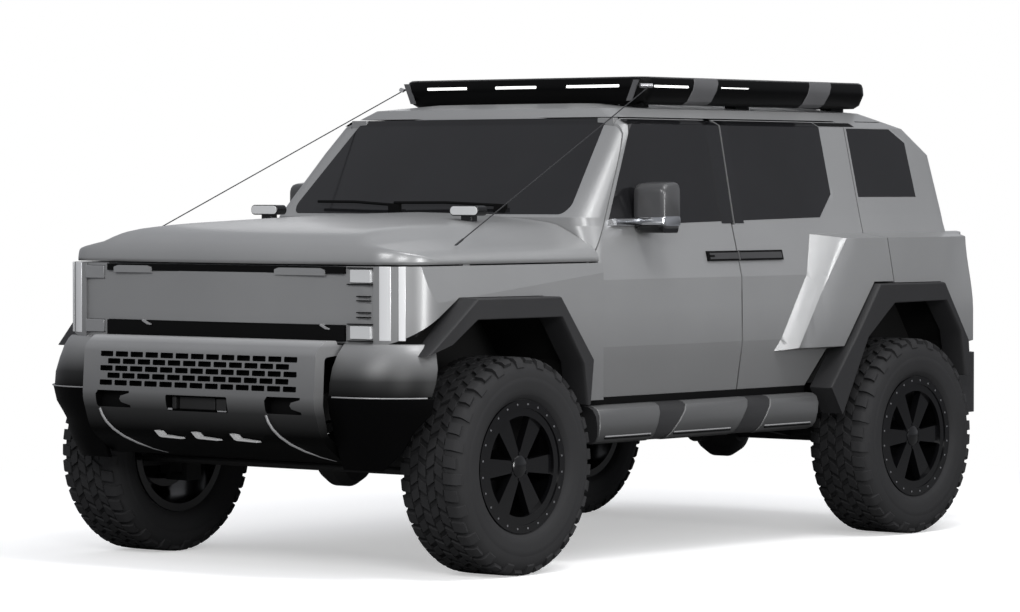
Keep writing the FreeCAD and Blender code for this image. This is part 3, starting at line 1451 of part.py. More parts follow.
save("crossmembers", crossmembers())
save("floor_pan", floor_pan())
save("engine", engine())
save("driveline", driveline())
save("fuel_tank", fuel_tank())
save("dashboard", dashboard())
save("steering_wheel", steering_wheel())
save("seats", seats())
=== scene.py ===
"""Looks for the lifted off-road 4x4: materials, tread, lamps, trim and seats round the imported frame."""
import math

import bmesh
import bpy
from mathutils import Matrix, Vector


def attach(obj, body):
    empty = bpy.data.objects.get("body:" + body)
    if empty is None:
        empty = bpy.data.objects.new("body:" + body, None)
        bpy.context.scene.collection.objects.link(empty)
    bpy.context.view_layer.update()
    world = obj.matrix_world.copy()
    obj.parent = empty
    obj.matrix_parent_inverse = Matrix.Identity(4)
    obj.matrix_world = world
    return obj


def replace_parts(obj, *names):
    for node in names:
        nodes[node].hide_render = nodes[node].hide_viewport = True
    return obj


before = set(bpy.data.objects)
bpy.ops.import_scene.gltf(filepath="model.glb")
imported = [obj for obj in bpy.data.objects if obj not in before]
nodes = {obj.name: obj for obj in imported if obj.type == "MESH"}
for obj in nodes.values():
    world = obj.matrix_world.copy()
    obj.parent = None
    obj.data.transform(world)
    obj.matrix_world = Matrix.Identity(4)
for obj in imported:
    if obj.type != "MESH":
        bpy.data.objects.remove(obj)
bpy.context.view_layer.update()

LEFT, RIGHT = 1, -1
SIDES = ((LEFT, "left"), (RIGHT, "right"))
CORNERS = ["front_left", "front_right", "rear_left", "rear_right"]

# Sizes in metres
wheelbase = 2.808
track_half = 0.953
tyre_radius = 0.442
front_axle = -wheelbase / 2
rear_axle = wheelbase / 2
body_levels = [(0.600, 0.916), (0.900, 0.962), (1.180, 0.958), (1.404, 0.903), (1.440, 0.894),
               (1.715, 0.832), (1.835, 0.805), (1.905, 0.668), (1.930, 0.430)]


def side_x(z):
    """The half width of the body's side at a height."""
    for (z0, x0), (z1, x1) in zip(body_levels, body_levels[1:]):
        if z <= z1:
            return x0 + (x1 - x0) * (z - z0) / (z1 - z0)
    return body_levels[-1][1]


# Camera, light and floor

fill_light = 0.42
floor_reach = 60
white_radius = 7
lamps = [("key", (10.5, -11.5, 5.2), (0.6, -0.4, 0.9), 5.0, 2.6, 620),
         ("overhead", (4.0, 0.5, 7.5), (0.5, 0, 1), 7.0, 8.0, 330),
         ("back", (-7.0, 9.0, 5.0), (0, 0, 1), 6.0, 4.0, 60),
         ("side", (13.0, -2.0, 1.9), (0.9, 0, 0.9), 2.4, 3.6, 560),
         ("bevel", (4.3, -2.1, 7.8), (1.03, 0.75, 1.0), 1.6, 1.6, 145),
         ("front", (1.0, -10.0, 6.0), (0, -2.0, 1.2), 4.0, 3.0, 320)]


def placed(name, data):
    """A new object in the scene."""
    made = bpy.data.objects.new(name, data)
    bpy.context.scene.collection.objects.link(made)
    return made


def look(location, yaw, pitch, lens):
    """The camera, from its place, its turn and dip in degrees, and its lens."""
    camera = placed("camera", bpy.data.cameras.new("camera"))
    camera.data.lens = lens
    camera.data.sensor_width = 36
    camera.data.clip_end = 200
    camera.location = location
    camera.rotation_euler = (math.radians(90 - pitch), 0, math.radians(yaw))
    bpy.context.scene.camera = camera


def softbox(name, location, target, width, height, energy):
    """A soft lamp that faces a target."""
    lamp = bpy.data.lights.new(name, "AREA")
    lamp.shape = "RECTANGLE"
    lamp.size, lamp.size_y = width, height
    lamp.energy = energy
    holder = placed(name, lamp)
    holder.location = location
    holder.rotation_euler = (Vector(target) - Vector(location)).to_track_quat("-Z", "Y").to_euler()


def add(tree, kind, values=None, **settings):
    """A new shader node, with its settings and the values of its sockets."""
    made = tree.nodes.new("ShaderNode" + kind)
    for key, value in settings.items():
        setattr(made, key, value)
    for socket, value in (values or {}).items():
        made.inputs[socket].default_value = value
    return made


def white_to_view(tree, seen, lit):
    """A shader that is one colour to the camera and through glass, and another as light and gloss."""
    link = tree.links.new
    path = add(tree, "LightPath")
    either = add(tree, "Math", operation="MAXIMUM")
    link(path.outputs["Is Camera Ray"], either.inputs[0])
    link(path.outputs["Is Transmission Ray"], either.inputs[1])
    mix = add(tree, "MixShader")
    link(either.outputs[0], mix.inputs[0])
    link(lit, mix.inputs[1])
    link(seen, mix.inputs[2])
    return mix.outputs[0]


def studio():
    """A white room, a floor that keeps the shadow and turns white further off, and soft lamps."""
    world = bpy.data.worlds.new("studio")
    bpy.context.scene.world = world
    world.use_nodes = True
    tree = world.node_tree
    link = tree.links.new
    tree.nodes.clear()
    seen = add(tree, "Background", {"Color": (1, 1, 1, 1)})
    lit = add(tree, "Background", {"Color": (0.92, 0.94, 1, 1), "Strength": fill_light})
    out = add(tree, "OutputWorld")
    link(white_to_view(tree, seen.outputs[0], lit.outputs[0]), out.inputs[0])

    floor = placed("floor", bpy.data.meshes.new("floor"))
    corners = [(a * floor_reach, b * floor_reach, 0) for a, b in ((-1, -1), (1, -1), (1, 1), (-1, 1))]
    floor.data.from_pydata(corners, [], [(0, 1, 2, 3)])
    skin = bpy.data.materials.new("floor")
    skin.use_nodes = True
    tree = skin.node_tree
    link = tree.links.new
    tree.nodes.clear()
    plain = add(tree, "BsdfDiffuse", {"Color": (0.86, 0.86, 0.86, 1)})
    bounce = add(tree, "BsdfDiffuse", {"Color": (0.22, 0.22, 0.22, 1)})
    glow = add(tree, "Emission", {"Strength": fill_light})
    both = add(tree, "AddShader")
    link(plain.outputs[0], both.inputs[0])
    link(glow.outputs[0], both.inputs[1])
    place = add(tree, "TexCoord")
    shrink = add(tree, "VectorMath", operation="SCALE")
    shrink.inputs["Scale"].default_value = 1 / white_radius
    link(place.outputs["Object"], shrink.inputs[0])
    ball = add(tree, "TexGradient", gradient_type="SPHERICAL")
    link(shrink.outputs[0], ball.inputs[0])
    whiten = add(tree, "MapRange", {"From Min": 0.20, "From Max": 0.62, "To Min": 1, "To Max": 0},
                 interpolation_type="SMOOTHSTEP")
    link(ball.outputs["Fac"], whiten.inputs["Value"])
    white = add(tree, "Emission")
    far = add(tree, "MixShader")
    link(whiten.outputs["Result"], far.inputs[0])
    link(both.outputs[0], far.inputs[1])
    link(white.outputs[0], far.inputs[2])
    out = add(tree, "OutputMaterial")
    link(white_to_view(tree, far.outputs[0], bounce.outputs[0]), out.inputs[0])
    floor.data.materials.append(skin)
    for lamp in lamps:
        softbox(*lamp)


# Materials

def ramp(tree, source, stops):
    """Colours read along a value, from (place, colour) stops."""
    made = add(tree, "ValToRGB")
    found = made.color_ramp.elements
    while len(found) < len(stops):
        found.new(0.5)
    for element, (place, colour) in zip(found, stops):
        element.position = place
        element.color = (*colour, 1)
    tree.links.new(source, made.inputs[0])
    return made.outputs[0]


def noise(tree, place, scale, detail=2):
    """Noise in the object's own space."""
    made = add(tree, "TexNoise", {"Scale": scale, "Detail": detail})
    tree.links.new(place.outputs["Object"], made.inputs["Vector"])
    return made.outputs["Fac"]


def material(name, colour, rough, metal=0.0, coat=0.0, specular=0.5, variation=0.0, grain=0.0, grain_scale=400,
             rough_variation=0.0, painted_shading=None):
    """A surface with a little colour change, grain, and optional painted shading between two heights: painted shade
    lower down, and painted light where a stop is over one.
    """
    skin = bpy.data.materials.new(name)
    skin.use_nodes = True
    tree = skin.node_tree
    link = tree.links.new
    shader = tree.nodes["Principled BSDF"]
    for socket, value in (("Metallic", metal), ("Coat Weight", coat), ("Coat Roughness", 0.12),
                          ("Specular IOR Level", specular), ("Roughness", rough)):
        shader.inputs[socket].default_value = value
    place = add(tree, "TexCoord")
    tint = ramp(tree, noise(tree, place, 2.3, 5),
                [(0.3, [max(c * (1 - variation), 0) for c in colour]),
                 (0.7, [min(c * (1 + variation), 1) for c in colour])])
    # Painted shading: colour and gloss are multiplied by a ramp over height, giving painted shade lower down and
    # painted light where a stop is over one.
    if painted_shading:
        foot, head, stops = painted_shading
        split = add(tree, "SeparateXYZ")
        link(place.outputs["Object"], split.inputs[0])
        height = add(tree, "MapRange", {"From Min": foot, "From Max": head})
        link(split.outputs["Z"], height.inputs["Value"])
        shade = ramp(tree, height.outputs["Result"], [(share, [value] * 3) for share, value in stops])
        mix = add(tree, "Mix", data_type="RGBA", blend_type="MULTIPLY")
        mix.inputs["Factor"].default_value = 1
        link(tint, mix.inputs[6])
        link(shade, mix.inputs[7])
        tint = mix.outputs[2]
        shaded_specular = add(tree, "Math", {1: specular}, operation="MULTIPLY")
        link(shade, shaded_specular.inputs[0])
        link(shaded_specular.outputs[0], shader.inputs["Specular IOR Level"])
    link(tint, shader.inputs["Base Color"])
    if rough_variation:
        spread = add(tree, "MapRange", {"To Min": rough - rough_variation, "To Max": rough + rough_variation})
        link(noise(tree, place, 9), spread.inputs["Value"])
        link(spread.outputs["Result"], shader.inputs["Roughness"])
    if grain:
        bump = add(tree, "Bump", {"Strength": grain, "Distance": 0.001})
        link(noise(tree, place, grain_scale, 3), bump.inputs["Height"])
        link(bump.outputs["Normal"], shader.inputs["Normal"])
    return skin


def glowing(name, colour, strength):
    """A lamp face that gives a little light."""
    skin = material(name, colour, 0.25, coat=0.5)
    shader = skin.node_tree.nodes["Principled BSDF"]
    shader.inputs["Emission Color"].default_value = (*colour, 1)
    shader.inputs["Emission Strength"].default_value = strength
    return skin


# Painted shade: the body paint darkens towards the bottom, and a little at the very top.
paint = material("paint", (0.272, 0.274, 0.276), 0.36, metal=0.35, coat=0.15, variation=0.03, grain=0.05,
                 grain_scale=900, rough_variation=0.03,
                 painted_shading=(0.60, 1.60, [(0.0, 0.66), (0.24, 0.74), (0.46, 0.97), (0.75, 1.0), (1.0, 0.96)]))
# Painted shade and highlight: the bumper paint goes nearly black towards the bottom, and a stop over one lightens its
# top edge.
bumper_paint = material("bumper_paint", (0.315, 0.317, 0.320), 0.38, metal=0.3, variation=0.03, grain=0.05,
                        grain_scale=900,
                        painted_shading=(0.46, 0.955, [(0.0, 0.004), (0.22, 0.012), (0.40, 0.12), (0.55, 0.50),
                                            (0.95, 0.72), (1.0, 1.3)]))
# Painted shade: the corner paint darkens from the top to nearly black at the bottom.
corner_paint = material("corner_paint", (0.262, 0.264, 0.266), 0.38, metal=0.3, variation=0.03, grain=0.05,
                        grain_scale=900,
                        painted_shading=(0.735, 0.945, [(0.0, 0.03), (0.30, 0.10), (0.75, 0.66), (1.0, 1.0)]))
# Painted shade: the step grey darkens towards the bottom.
step_grey = material("step_grey", (0.105, 0.106, 0.107), 0.36, metal=0.3, variation=0.03, grain=0.05,
                     painted_shading=(0.50, 0.66, [(0.0, 0.35), (0.5, 0.8), (1.0, 1.05)]))
# Painted highlight: near-white paint for the bright bands on the nose corners.
highlight_paint = material("highlight_paint", (0.78, 0.785, 0.79), 0.3, metal=0.3, coat=0.2, variation=0.03)
cladding = material("cladding", (0.060, 0.061, 0.063), 0.5, variation=0.05, grain=0.25, grain_scale=700)
black_trim = material("black_trim", (0.017, 0.017, 0.018), 0.55, specular=0.35, variation=0.08, grain=0.35,
                      grain_scale=800)
dark_trim = material("dark_trim", (0.006, 0.006, 0.006), 0.6, specular=0.25, variation=0.1, grain=0.3,
                     grain_scale=600)
skirt_black = material("skirt_black", (0.0010, 0.0010, 0.0011), 0.5, specular=0.05, variation=0.15, grain=0.3,
                       grain_scale=600)
# Black for pits and dark parts, and for painted shadows under the sills and along the steps.
pit_and_shadow_black = material("pit_and_shadow_black", (0.0015, 0.0015, 0.0016), 0.6, specular=0.1, variation=0.2, grain=0.2)
rack_black = material("rack_black", (0.0012, 0.0012, 0.0013), 0.3, specular=0.1, variation=0.1, grain=0.15,
                      grain_scale=1200)
gloss_black = material("gloss_black", (0.0035, 0.0035, 0.004), 0.2, specular=0.3, coat=0.25, variation=0.05)
glass_black = material("glass_black", (0.008, 0.008, 0.009), 0.10, specular=0.4, variation=0.1)
privacy_glass = material("privacy_glass", (0.010, 0.010, 0.011), 0.10, specular=0.3, variation=0.1)
rubber = material("rubber", (0.0205, 0.0205, 0.0215), 0.78, specular=0.25, variation=0.12, grain=0.5,
                  grain_scale=260, rough_variation=0.06)
leather = material("leather", (0.020, 0.019, 0.018), 0.5, variation=0.15, grain=0.7, grain_scale=320,
                   rough_variation=0.06)
iron = material("iron", (0.012, 0.012, 0.012), 0.6, metal=0.3, variation=0.25, grain=0.4, grain_scale=120,
                rough_variation=0.1)
cable_steel = material("cable_steel", (0.020, 0.020, 0.022), 0.4, metal=0.5, variation=0.1, grain=0.6,
                       grain_scale=1500)
chrome = material("chrome", (0.55, 0.56, 0.58), 0.16, metal=1.0, variation=0.03)
steel = material("steel", (0.30, 0.30, 0.31), 0.3, metal=0.8, variation=0.05)
wrap_grey = material("wrap_grey", (0.075, 0.075, 0.078), 0.45, variation=0.05, grain=0.1)
handle_grey = material("handle_grey", (0.035, 0.035, 0.036), 0.4, variation=0.06, grain=0.2)
mirror_grey = material("mirror_grey", (0.060, 0.060, 0.062), 0.32, metal=0.2, coat=0.2, variation=0.05)
mark_light = material("mark_light", (0.62, 0.62, 0.62), 0.4, variation=0.06, grain=0.1)
# Grey for marks, and for painted highlights such as the winch glints and the lines on the steps.
mark_and_highlight_grey = material("mark_and_highlight_grey", (0.30, 0.30, 0.305), 0.4, metal=0.3, variation=0.06, grain=0.1)
# Painted shade: a darker grey for the right lamp lenses than for the light, glowing left ones.
shaded_lamp_grey = material("shaded_lamp_grey", (0.21, 0.212, 0.216), 0.3, coat=0.3, variation=0.04)
lamp_white = glowing("lamp_white", (0.46, 0.465, 0.47), 0.18)
slot_white = glowing("slot_white", (0.95, 0.95, 0.93), 0.9)
tail_red = material("tail_red", (0.12, 0.006, 0.006), 0.15, coat=0.8, variation=0.15)

finish = {
    paint: ["quarter_panels", "cab_frame", "fenders", "front_panel", "tailgate", "hood"]
    + ["door_" + key for key in CORNERS],
    bumper_paint: ["front_bumper", "bumper_mesh"],
    cladding: ["bumper_corners"],
    black_trim: ["arch_trims", "rear_bumper", "dashboard", "steering_wheel"],
    dark_trim: ["bumper_skirts", "wheel_housings", "floor_pan", "mirror_left", "mirror_right"],
    rack_black: ["roof_rack", "ditch_lamps"],
    step_grey: ["side_steps"],
    privacy_glass: ["glass_" + key for key in CORNERS] + ["fixed_glass", "tailgate_glass"],
    lamp_white: ["headlamps"],
    tail_red: ["tail_lamps"],
    gloss_black: ["rim_" + key for key in CORNERS],
    rubber: ["tyre_" + key for key in CORNERS],
    cable_steel: ["limb_cable_left", "limb_cable_right"],
    iron: ["knuckle_left", "knuckle_right", "tie_rod", "front_axle", "rear_axle", "suspension", "frame_rails",
           "crossmembers", "engine", "driveline", "fuel_tank"],
    leather: ["seats"],
}
for skin, names in finish.items():
    for name in names:
        mesh = nodes[name].data
        mesh.materials.clear()
        mesh.materials.append(skin)


# Mesh helpers

def piece(name, mesh, skin, body="chassis", smooth=None, bevel=0.0):
    """A finished mesh object that rides on a body."""
    mesh.name = name
    holder = placed(name, mesh)
    if not mesh.materials:
        mesh.materials.append(skin)
    if smooth:
        mesh.shade_smooth()
        mesh.set_sharp_from_angle(angle=math.radians(smooth))
    if bevel:
        edge = holder.modifiers.new("edge", "BEVEL")
        edge.width = bevel
        edge.segments = 2
        edge.limit_method = "ANGLE"
    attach(holder, body)
    return holder


def opened(mesh):
    """A mesh opened for editing."""
    form = bmesh.new()
    form.from_mesh(mesh)
    return form


def closed(form, mesh):
    """An edited form written to a mesh."""
    form.to_mesh(mesh)
    form.free()
    return mesh


def mesh_of(points, faces):
    """A mesh with its faces turned outwards."""
    mesh = bpy.data.meshes.new("form")
    mesh.from_pydata([tuple(p) for p in points], [], faces)
    form = opened(mesh)
    bmesh.ops.recalc_face_normals(form, faces=form.faces)
    return closed(form, mesh)


def skin_of(loops, around=False):
    """The faces between closed outlines in turn, and round to the first again."""
    count = len(loops[0])
    faces = []
    for k in range(len(loops) - 1 + around):
        a, b = k * count, (k + 1) % len(loops) * count
        for i in range(count):
            j = (i + 1) % count
            faces.append((a + i, a + j, b + j, b + i))
    return faces


def prism_mesh(loops):
    """Closed outlines joined in turn, and capped at both ends."""
    count, total = len(loops[0]), len(loops[0]) * len(loops)
    faces = [tuple(range(count))[::-1], tuple(range(total - count, total))] + skin_of(loops)
    return mesh_of([p for loop in loops for p in loop], faces)


def ring_mesh(loops):
    """Closed outlines joined in turn and round to the first again."""
    return mesh_of([p for loop in loops for p in loop], skin_of(loops, True))


def joined(meshes):
    """Several meshes as one."""
    whole = bmesh.new()
    for mesh in meshes:
        whole.from_mesh(mesh)
        bpy.data.meshes.remove(mesh)
    return closed(whole, bpy.data.meshes.new("form"))


def turned(profile, centre, segments):
    """A ring turned about the wheel's axis from closed (x, radius) points."""
    turns = [2 * math.pi * i / segments for i in range(segments)]
    return ring_mesh([[(centre[0] + x, centre[1] + r * math.cos(turn), centre[2] + r * math.sin(turn))
                       for x, r in profile] for turn in turns])


def sliced(mesh, cuts):
    """A mesh without its material, opened for editing, its faces divided by planes."""
    mesh.materials.clear()
    form = opened(mesh)
    for spot, way in cuts:
        everything = list(form.verts) + list(form.edges) + list(form.faces)
        bmesh.ops.bisect_plane(form, geom=everything, plane_co=spot, plane_no=way)
    return form


def rounded(points, radii, steps=6):
    """A flat closed outline with its corners rounded."""
    found = []
    for i, spot in enumerate(points):
        radius = radii[i]
        if not radius:
            found.append(tuple(spot))
            continue
        here = Vector(spot)
        back = (Vector(points[i - 1]) - here).normalized()
        ahead = (Vector(points[(i + 1) % len(points)]) - here).normalized()
        half = back.angle(ahead) / 2
        centre = here + (back + ahead).normalized() * (radius / math.sin(half))
        start = here + back * (radius / math.tan(half)) - centre
        end = here + ahead * (radius / math.tan(half)) - centre
        sweep = math.pi - 2 * half
        for k in range(steps + 1):
            turn = sweep * k / steps
            spot = centre + (start * math.sin(sweep - turn) + end * math.sin(turn)) / math.sin(sweep)
            found.append(tuple(spot))
    return found


def window(low, high, floor, top, radius, steps=2):
    """A flat upright rectangle with its corners rounded."""
    return rounded([(low, floor), (high, floor), (high, top), (low, top)], [radius] * 4, steps)


def lay(axis, level, spot):
    """A flat point placed across an axis."""
    a, b = spot
    return {"x": (level, a, b), "y": (a, level, b), "z": (a, b, level)}[axis]


def slab(axis, low, high, outline):
    """An outline carried between two levels of an axis."""
    return prism_mesh([[lay(axis, level, spot) for spot in outline] for level in (low, high)])


def box_mesh(low, high):
    """A block between two corners."""
    (x0, y0, z0), (x1, y1, z1) = low, high
    return prism_mesh([[(x, y0, z0), (x, y1, z0), (x, y1, z1), (x, y0, z1)] for x in (x0, x1)])


def rod(path, radius, sides=8):
    """A round rod along points."""
    spots = [Vector(p) for p in path]
    loops = []
    for i, spot in enumerate(spots):
        along = (spots[min(i + 1, len(spots) - 1)] - spots[max(i - 1, 0)]).normalized()
        side = along.cross(Vector((0, 0, 1)))
        if side.length < 0.05:
            side = along.cross(Vector((1, 0, 0)))
        side.normalize()
        up = side.cross(along)
        turns = [2 * math.pi * k / sides for k in range(sides)]
        loops.append([spot + (side * math.cos(turn) + up * math.sin(turn)) * radius for turn in turns])
    return prism_mesh(loops)


def mirrored(mesh):
    """A copy of a mesh on the other side of the car."""
    other = mesh.copy()
    other.transform(Matrix.Scale(-1, 4, (1, 0, 0)))
    other.flip_normals()
    return other


def pair(mesh):
    """A mesh and its mirror image as one."""
    return joined([mirrored(mesh), mesh])


def carve(mesh, cutters, skins):
    """A mesh with closed shapes cut out: its skin, and another for the cut faces."""
    target = placed("target", mesh)
    tool = placed("tool", joined(cutters))
    for skin in skins:
        mesh.materials.append(skin)
        tool.data.materials.append(skin)
    for face in tool.data.polygons:
        face.material_index = 1
    change = target.modifiers.new("cut", "BOOLEAN")
    change.object = tool
    change.solver = "EXACT"
    graph = bpy.context.evaluated_depsgraph_get()
    found = bpy.data.meshes.new_from_object(target.evaluated_get(graph))
    bpy.data.objects.remove(target)
    bpy.data.objects.remove(tool)
    return found


# Tyres and wheels

pitches = 40
base_radius = 0.4295
lug_draft = 0.0022
shoulder_top = [(0.088, 0.442), (0.127, 0.4405), (0.143, 0.4300), (0.1535, 0.4030)]
shoulder_base = [(0.088, 0.4280), (0.123, 0.4270), (0.136, 0.4150), (0.1490, 0.3960)]
centre_rows = [(-0.082, -0.045, 0.0), (-0.040, -0.003, 0.5), (0.003, 0.040, 0.0), (0.045, 0.082, 0.5)]
carcass_half = [(0.1270, 0.2475), (0.1270, 0.2710), (0.1395, 0.2790), (0.1480, 0.2900), (0.1500, 0.2925),
                (0.1545, 0.3160), (0.1570, 0.3400), (0.1572, 0.3560), (0.1560, 0.3585), (0.1560, 0.3640),
                (0.1535, 0.3860), (0.1480, 0.4010), (0.1380, 0.4150), (0.1240, 0.4270), (0.0800, base_radius)]
ring_face = 0.1325
bolt_circle = 0.2525
hub_face = 0.1090
nut_circle = 0.0525
nut_radius = 0.0075


def lug(top, base, start, end, skew):
    """One tread block between two angles, its ends slanted."""
    points = []
    for row in (base, top):
        inset = lug_draft if row is top else 0.0
        for k, (x, r) in enumerate(row):
            lean = skew * (k / (len(row) - 1) - 0.5)
            for turn, way in ((start, 1), (end, -1)):
                angle = turn + lean + way * inset / r
                points.append((x, r * math.cos(angle), r * math.sin(angle)))
    count = len(top)
    high = count * 2
    faces = []
    for k in range(count - 1):
        a, b, c, d = 2 * k, 2 * k + 1, 2 * k + 3, 2 * k + 2
        faces.append((high + a, high + b, high + c, high + d))
        faces.append((a, high + a, high + d, d))
        faces.append((b, c, high + c, high + b))
    faces.append((0, 1, high + 1, high))
    last = 2 * (count - 1)
    faces.append((last, high + last, high + last + 1, last + 1))
    return points, faces


def tread(centre):
    """All blocks of one tyre as one mesh."""
    points, faces = [], []

    def keep(found):
        start = len(points)
        points.extend(found[0])
        faces.extend(tuple(start + i for i in face) for face in found[1])

    step = 2 * math.pi / pitches
    for i in range(pitches):
        turn = i * step
        for sign in (LEFT, RIGHT):
            top = [(sign * x, r) for x, r in shoulder_top]
            base = [(sign * x, r) for x, r in shoulder_base]
            shift = 0 if sign > 0 else step / 2
            if i % 2:
                top, base = top[:3], base[:3]
            keep(lug(top, base, turn + shift + step * 0.10, turn + shift + step * 0.80, 0.02 * sign))
        for x0, x1, shift in centre_rows:
            bend = 0.05 if shift else -0.05
            row = [(x0, tyre_radius), ((x0 + x1) / 2, tyre_radius), (x1, tyre_radius)]
            foot = [(x, base_radius - 0.002) for x, _ in row]
            keep(lug(row, foot, turn + step * (shift + 0.08), turn + step * (shift + 0.78), bend))
    points = [(centre[0] + x, centre[1] + y, centre[2] + z) for x, y, z in points]
    return mesh_of(points, faces)


def carcass(centre):
    """The tyre's body: beads, sidewalls with raised rings, and the tread's floor."""
    return turned(carcass_half + [(-x, r) for x, r in reversed(carcass_half)], centre, 120)


def heads(centre, count, circle, levels):
    """Six-sided heads on a circle round the wheel's axis, through (x, radius) levels."""
    found = []
    for i in range(count):
        turn = 2 * math.pi * (i + 0.5) / count
        y, z = centre[1] + circle * math.cos(turn), centre[2] + circle * math.sin(turn)
        found.append(prism_mesh([[(x, y + r * math.cos(a * math.pi / 3), z + r * math.sin(a * math.pi / 3))
                                  for a in range(6)] for x, r in levels]))
    return found


def wheel_trim(key, centre, sign, body):
    """Ring bolts, hub cap and wheel nuts of one wheel."""
    face = centre[0] + sign * ring_face
    bolt = ((face, 0.0062), (face + sign * 0.0035, 0.0060), (face + sign * 0.0050, 0.0040))
    bolts = heads(centre, 24, bolt_circle, bolt)
    piece("ring_bolts_" + key, joined(bolts), steel, body, smooth=30)
    hub = centre[0] + sign * hub_face
    cap = turned([(0, 0.001), (0, 0.046), (sign * 0.012, 0.044), (sign * 0.017, 0.036), (sign * 0.018, 0.001)],
                 (hub, centre[1], centre[2]), 48)
    nuts = heads(centre, 6, nut_circle, ((hub - sign * 0.004, nut_radius), (hub + sign * 0.012, nut_radius)))
    piece("hub_cap_" + key, joined([cap] + nuts), gloss_black, body, smooth=40)


for sign, side in SIDES:
    for end, axle in (("front", front_axle), ("rear", rear_axle)):
        key = end + "_" + side
        centre = (sign * track_half, axle, tyre_radius)
        whole = joined([carcass(centre), tread(centre)])
        rubber_ring = piece("tread_" + key, whole, rubber, "wheel_" + key, smooth=40)
        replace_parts(rubber_ring, "tyre_" + key)
        wheel_trim(key, centre, sign, "wheel_" + key)


# Front bumper

bumper_half = 0.643
bumper_profile = [(-1.930, 0.938), (-2.022, 0.938), (-2.030, 0.956), (-2.095, 0.956), (-2.152, 0.915),
                  (-2.166, 0.700), (-2.120, 0.560), (-1.985, 0.465), (-1.985, 0.500), (-2.080, 0.580),
                  (-2.110, 0.700), (-2.100, 0.890), (-1.930, 0.905)]
bumper_rounds = [0, 0, 0.01, 0.03, 0.045, 0.16, 0.14, 0, 0, 0.05, 0.06, 0.02, 0]
cut_front = -2.2
hole_rows, hole_columns = 5, 13
hole_pitch, row_pitch = 0.0852, 0.0295
hole_half_width, hole_half_height = 0.0355, 0.0112
hole_top = 0.881
hook = [(0.384, 0.662), (0.569, 0.662), (0.569, 0.672), (0.520, 0.684), (0.512, 0.697), (0.520, 0.710),
        (0.569, 0.722), (0.569, 0.731), (0.390, 0.731), (0.377, 0.715), (0.377, 0.672)]
hook_pitch = 0.946

holes = []
for row in range(hole_rows):
    count = hole_columns - row % 2
    for i in range(count):
        x = (i - (count - 1) / 2) * hole_pitch
        z = hole_top - row * row_pitch
        outline = window(x - hole_half_width, x + hole_half_width, z - hole_half_height, z + hole_half_height, 0.004)
        holes.append(slab("y", cut_front, -2.128, outline))
holes.append(slab("y", cut_front, -2.120, window(-0.170, 0.170, 0.657, 0.722, 0.008, 3)))
for shift in (0, hook_pitch):
    holes.append(slab("y", cut_front, -2.124, [(x - shift, z) for x, z in hook]))
bumper = slab("x", -bumper_half, bumper_half, rounded(bumper_profile, bumper_rounds, 8))
bumper = carve(bumper, holes, [bumper_paint, pit_and_shadow_black])
shell = piece("bumper_shell", bumper, bumper_paint, smooth=35)
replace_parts(shell, "front_bumper")
plate = slab("x", -0.56, 0.56, [(-2.127, 0.745), (-2.119, 0.745), (-2.115, 0.895), (-2.123, 0.895)])
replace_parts(piece("mesh_backing", plate, pit_and_shadow_black), "bumper_mesh")

mark_outline = [(-0.052, 0.574), (-0.028, 0.571), (-0.016, 0.556), (0.078, 0.548), (0.080, 0.542), (-0.026, 0.546),
                (-0.038, 0.550)]
marks = []
for x in (-0.195, 0.012, 0.225):
    marks.append(prism_mesh([[(x + a, -2.150 + (0.574 - b) * 0.55 + push, b) for a, b in mark_outline]
                             for push in (0.0, 0.03)]))
strip_path = [(0.000, -2.1625, 0.656), (0.008, -2.158, 0.630), (0.022, -2.146, 0.600), (0.042, -2.126, 0.570),
              (0.070, -2.094, 0.540), (0.110, -2.052, 0.512), (0.165, -2.014, 0.490), (0.230, -1.992, 0.476)]
strips = [rod([(x + shift, y, z) for shift, y, z in strip_path], 0.0055) for x in (-0.545, 0.385)]
piece("panel_gap", box_mesh((-0.64, -1.997, 0.9385), (0.64, -1.985, 0.9445)), pit_and_shadow_black)
piece("bumper_marks", joined(marks), mark_light, smooth=40)
piece("bumper_strips", joined(strips), mark_and_highlight_grey, smooth=40)
winch = [box_mesh((-0.150, -2.146, 0.664), (-0.128, -2.124, 0.716)),
         box_mesh((-0.118, -2.136, 0.664), (0.080, -2.124, 0.716)),
         box_mesh((0.096, -2.146, 0.664), (0.150, -2.124, 0.712))]
piece("winch_rollers", joined(winch), iron, bevel=0.004)
glints = [box_mesh((-0.166, -2.154, 0.660), (-0.146, -2.146, 0.668)),
          box_mesh((0.110, -2.154, 0.660), (0.158, -2.146, 0.665))]
piece("winch_glints", joined(glints), mark_and_highlight_grey, bevel=0.001)

# Height, half width, face, tip and bend of each level
corner_levels = [(0.7356, 1.066, -2.090, -1.905, 0.310), (0.790, 1.064, -2.085, -1.885, 0.308),
                 (0.850, 1.052, -2.068, -1.865, 0.300), (0.900, 1.026, -2.038, -1.852, 0.250),
                 (0.930, 1.002, -2.010, -1.840, 0.205), (0.9445, 0.990, -1.994, -1.835, 0.190)]
skirt_levels = [(0.440, 0.960, -2.000, -1.975, 0.220), (0.520, 0.995, -2.035, -1.950, 0.260),
                (0.598, 1.020, -2.062, -1.930, 0.300), (0.668, 1.058, -2.086, -1.898, 0.310),
                (0.733, 1.070, -2.096, -1.900, 0.312)]
corner_wall = 0.022
corner_steps = 12
corner_start = bumper_half + 0.010


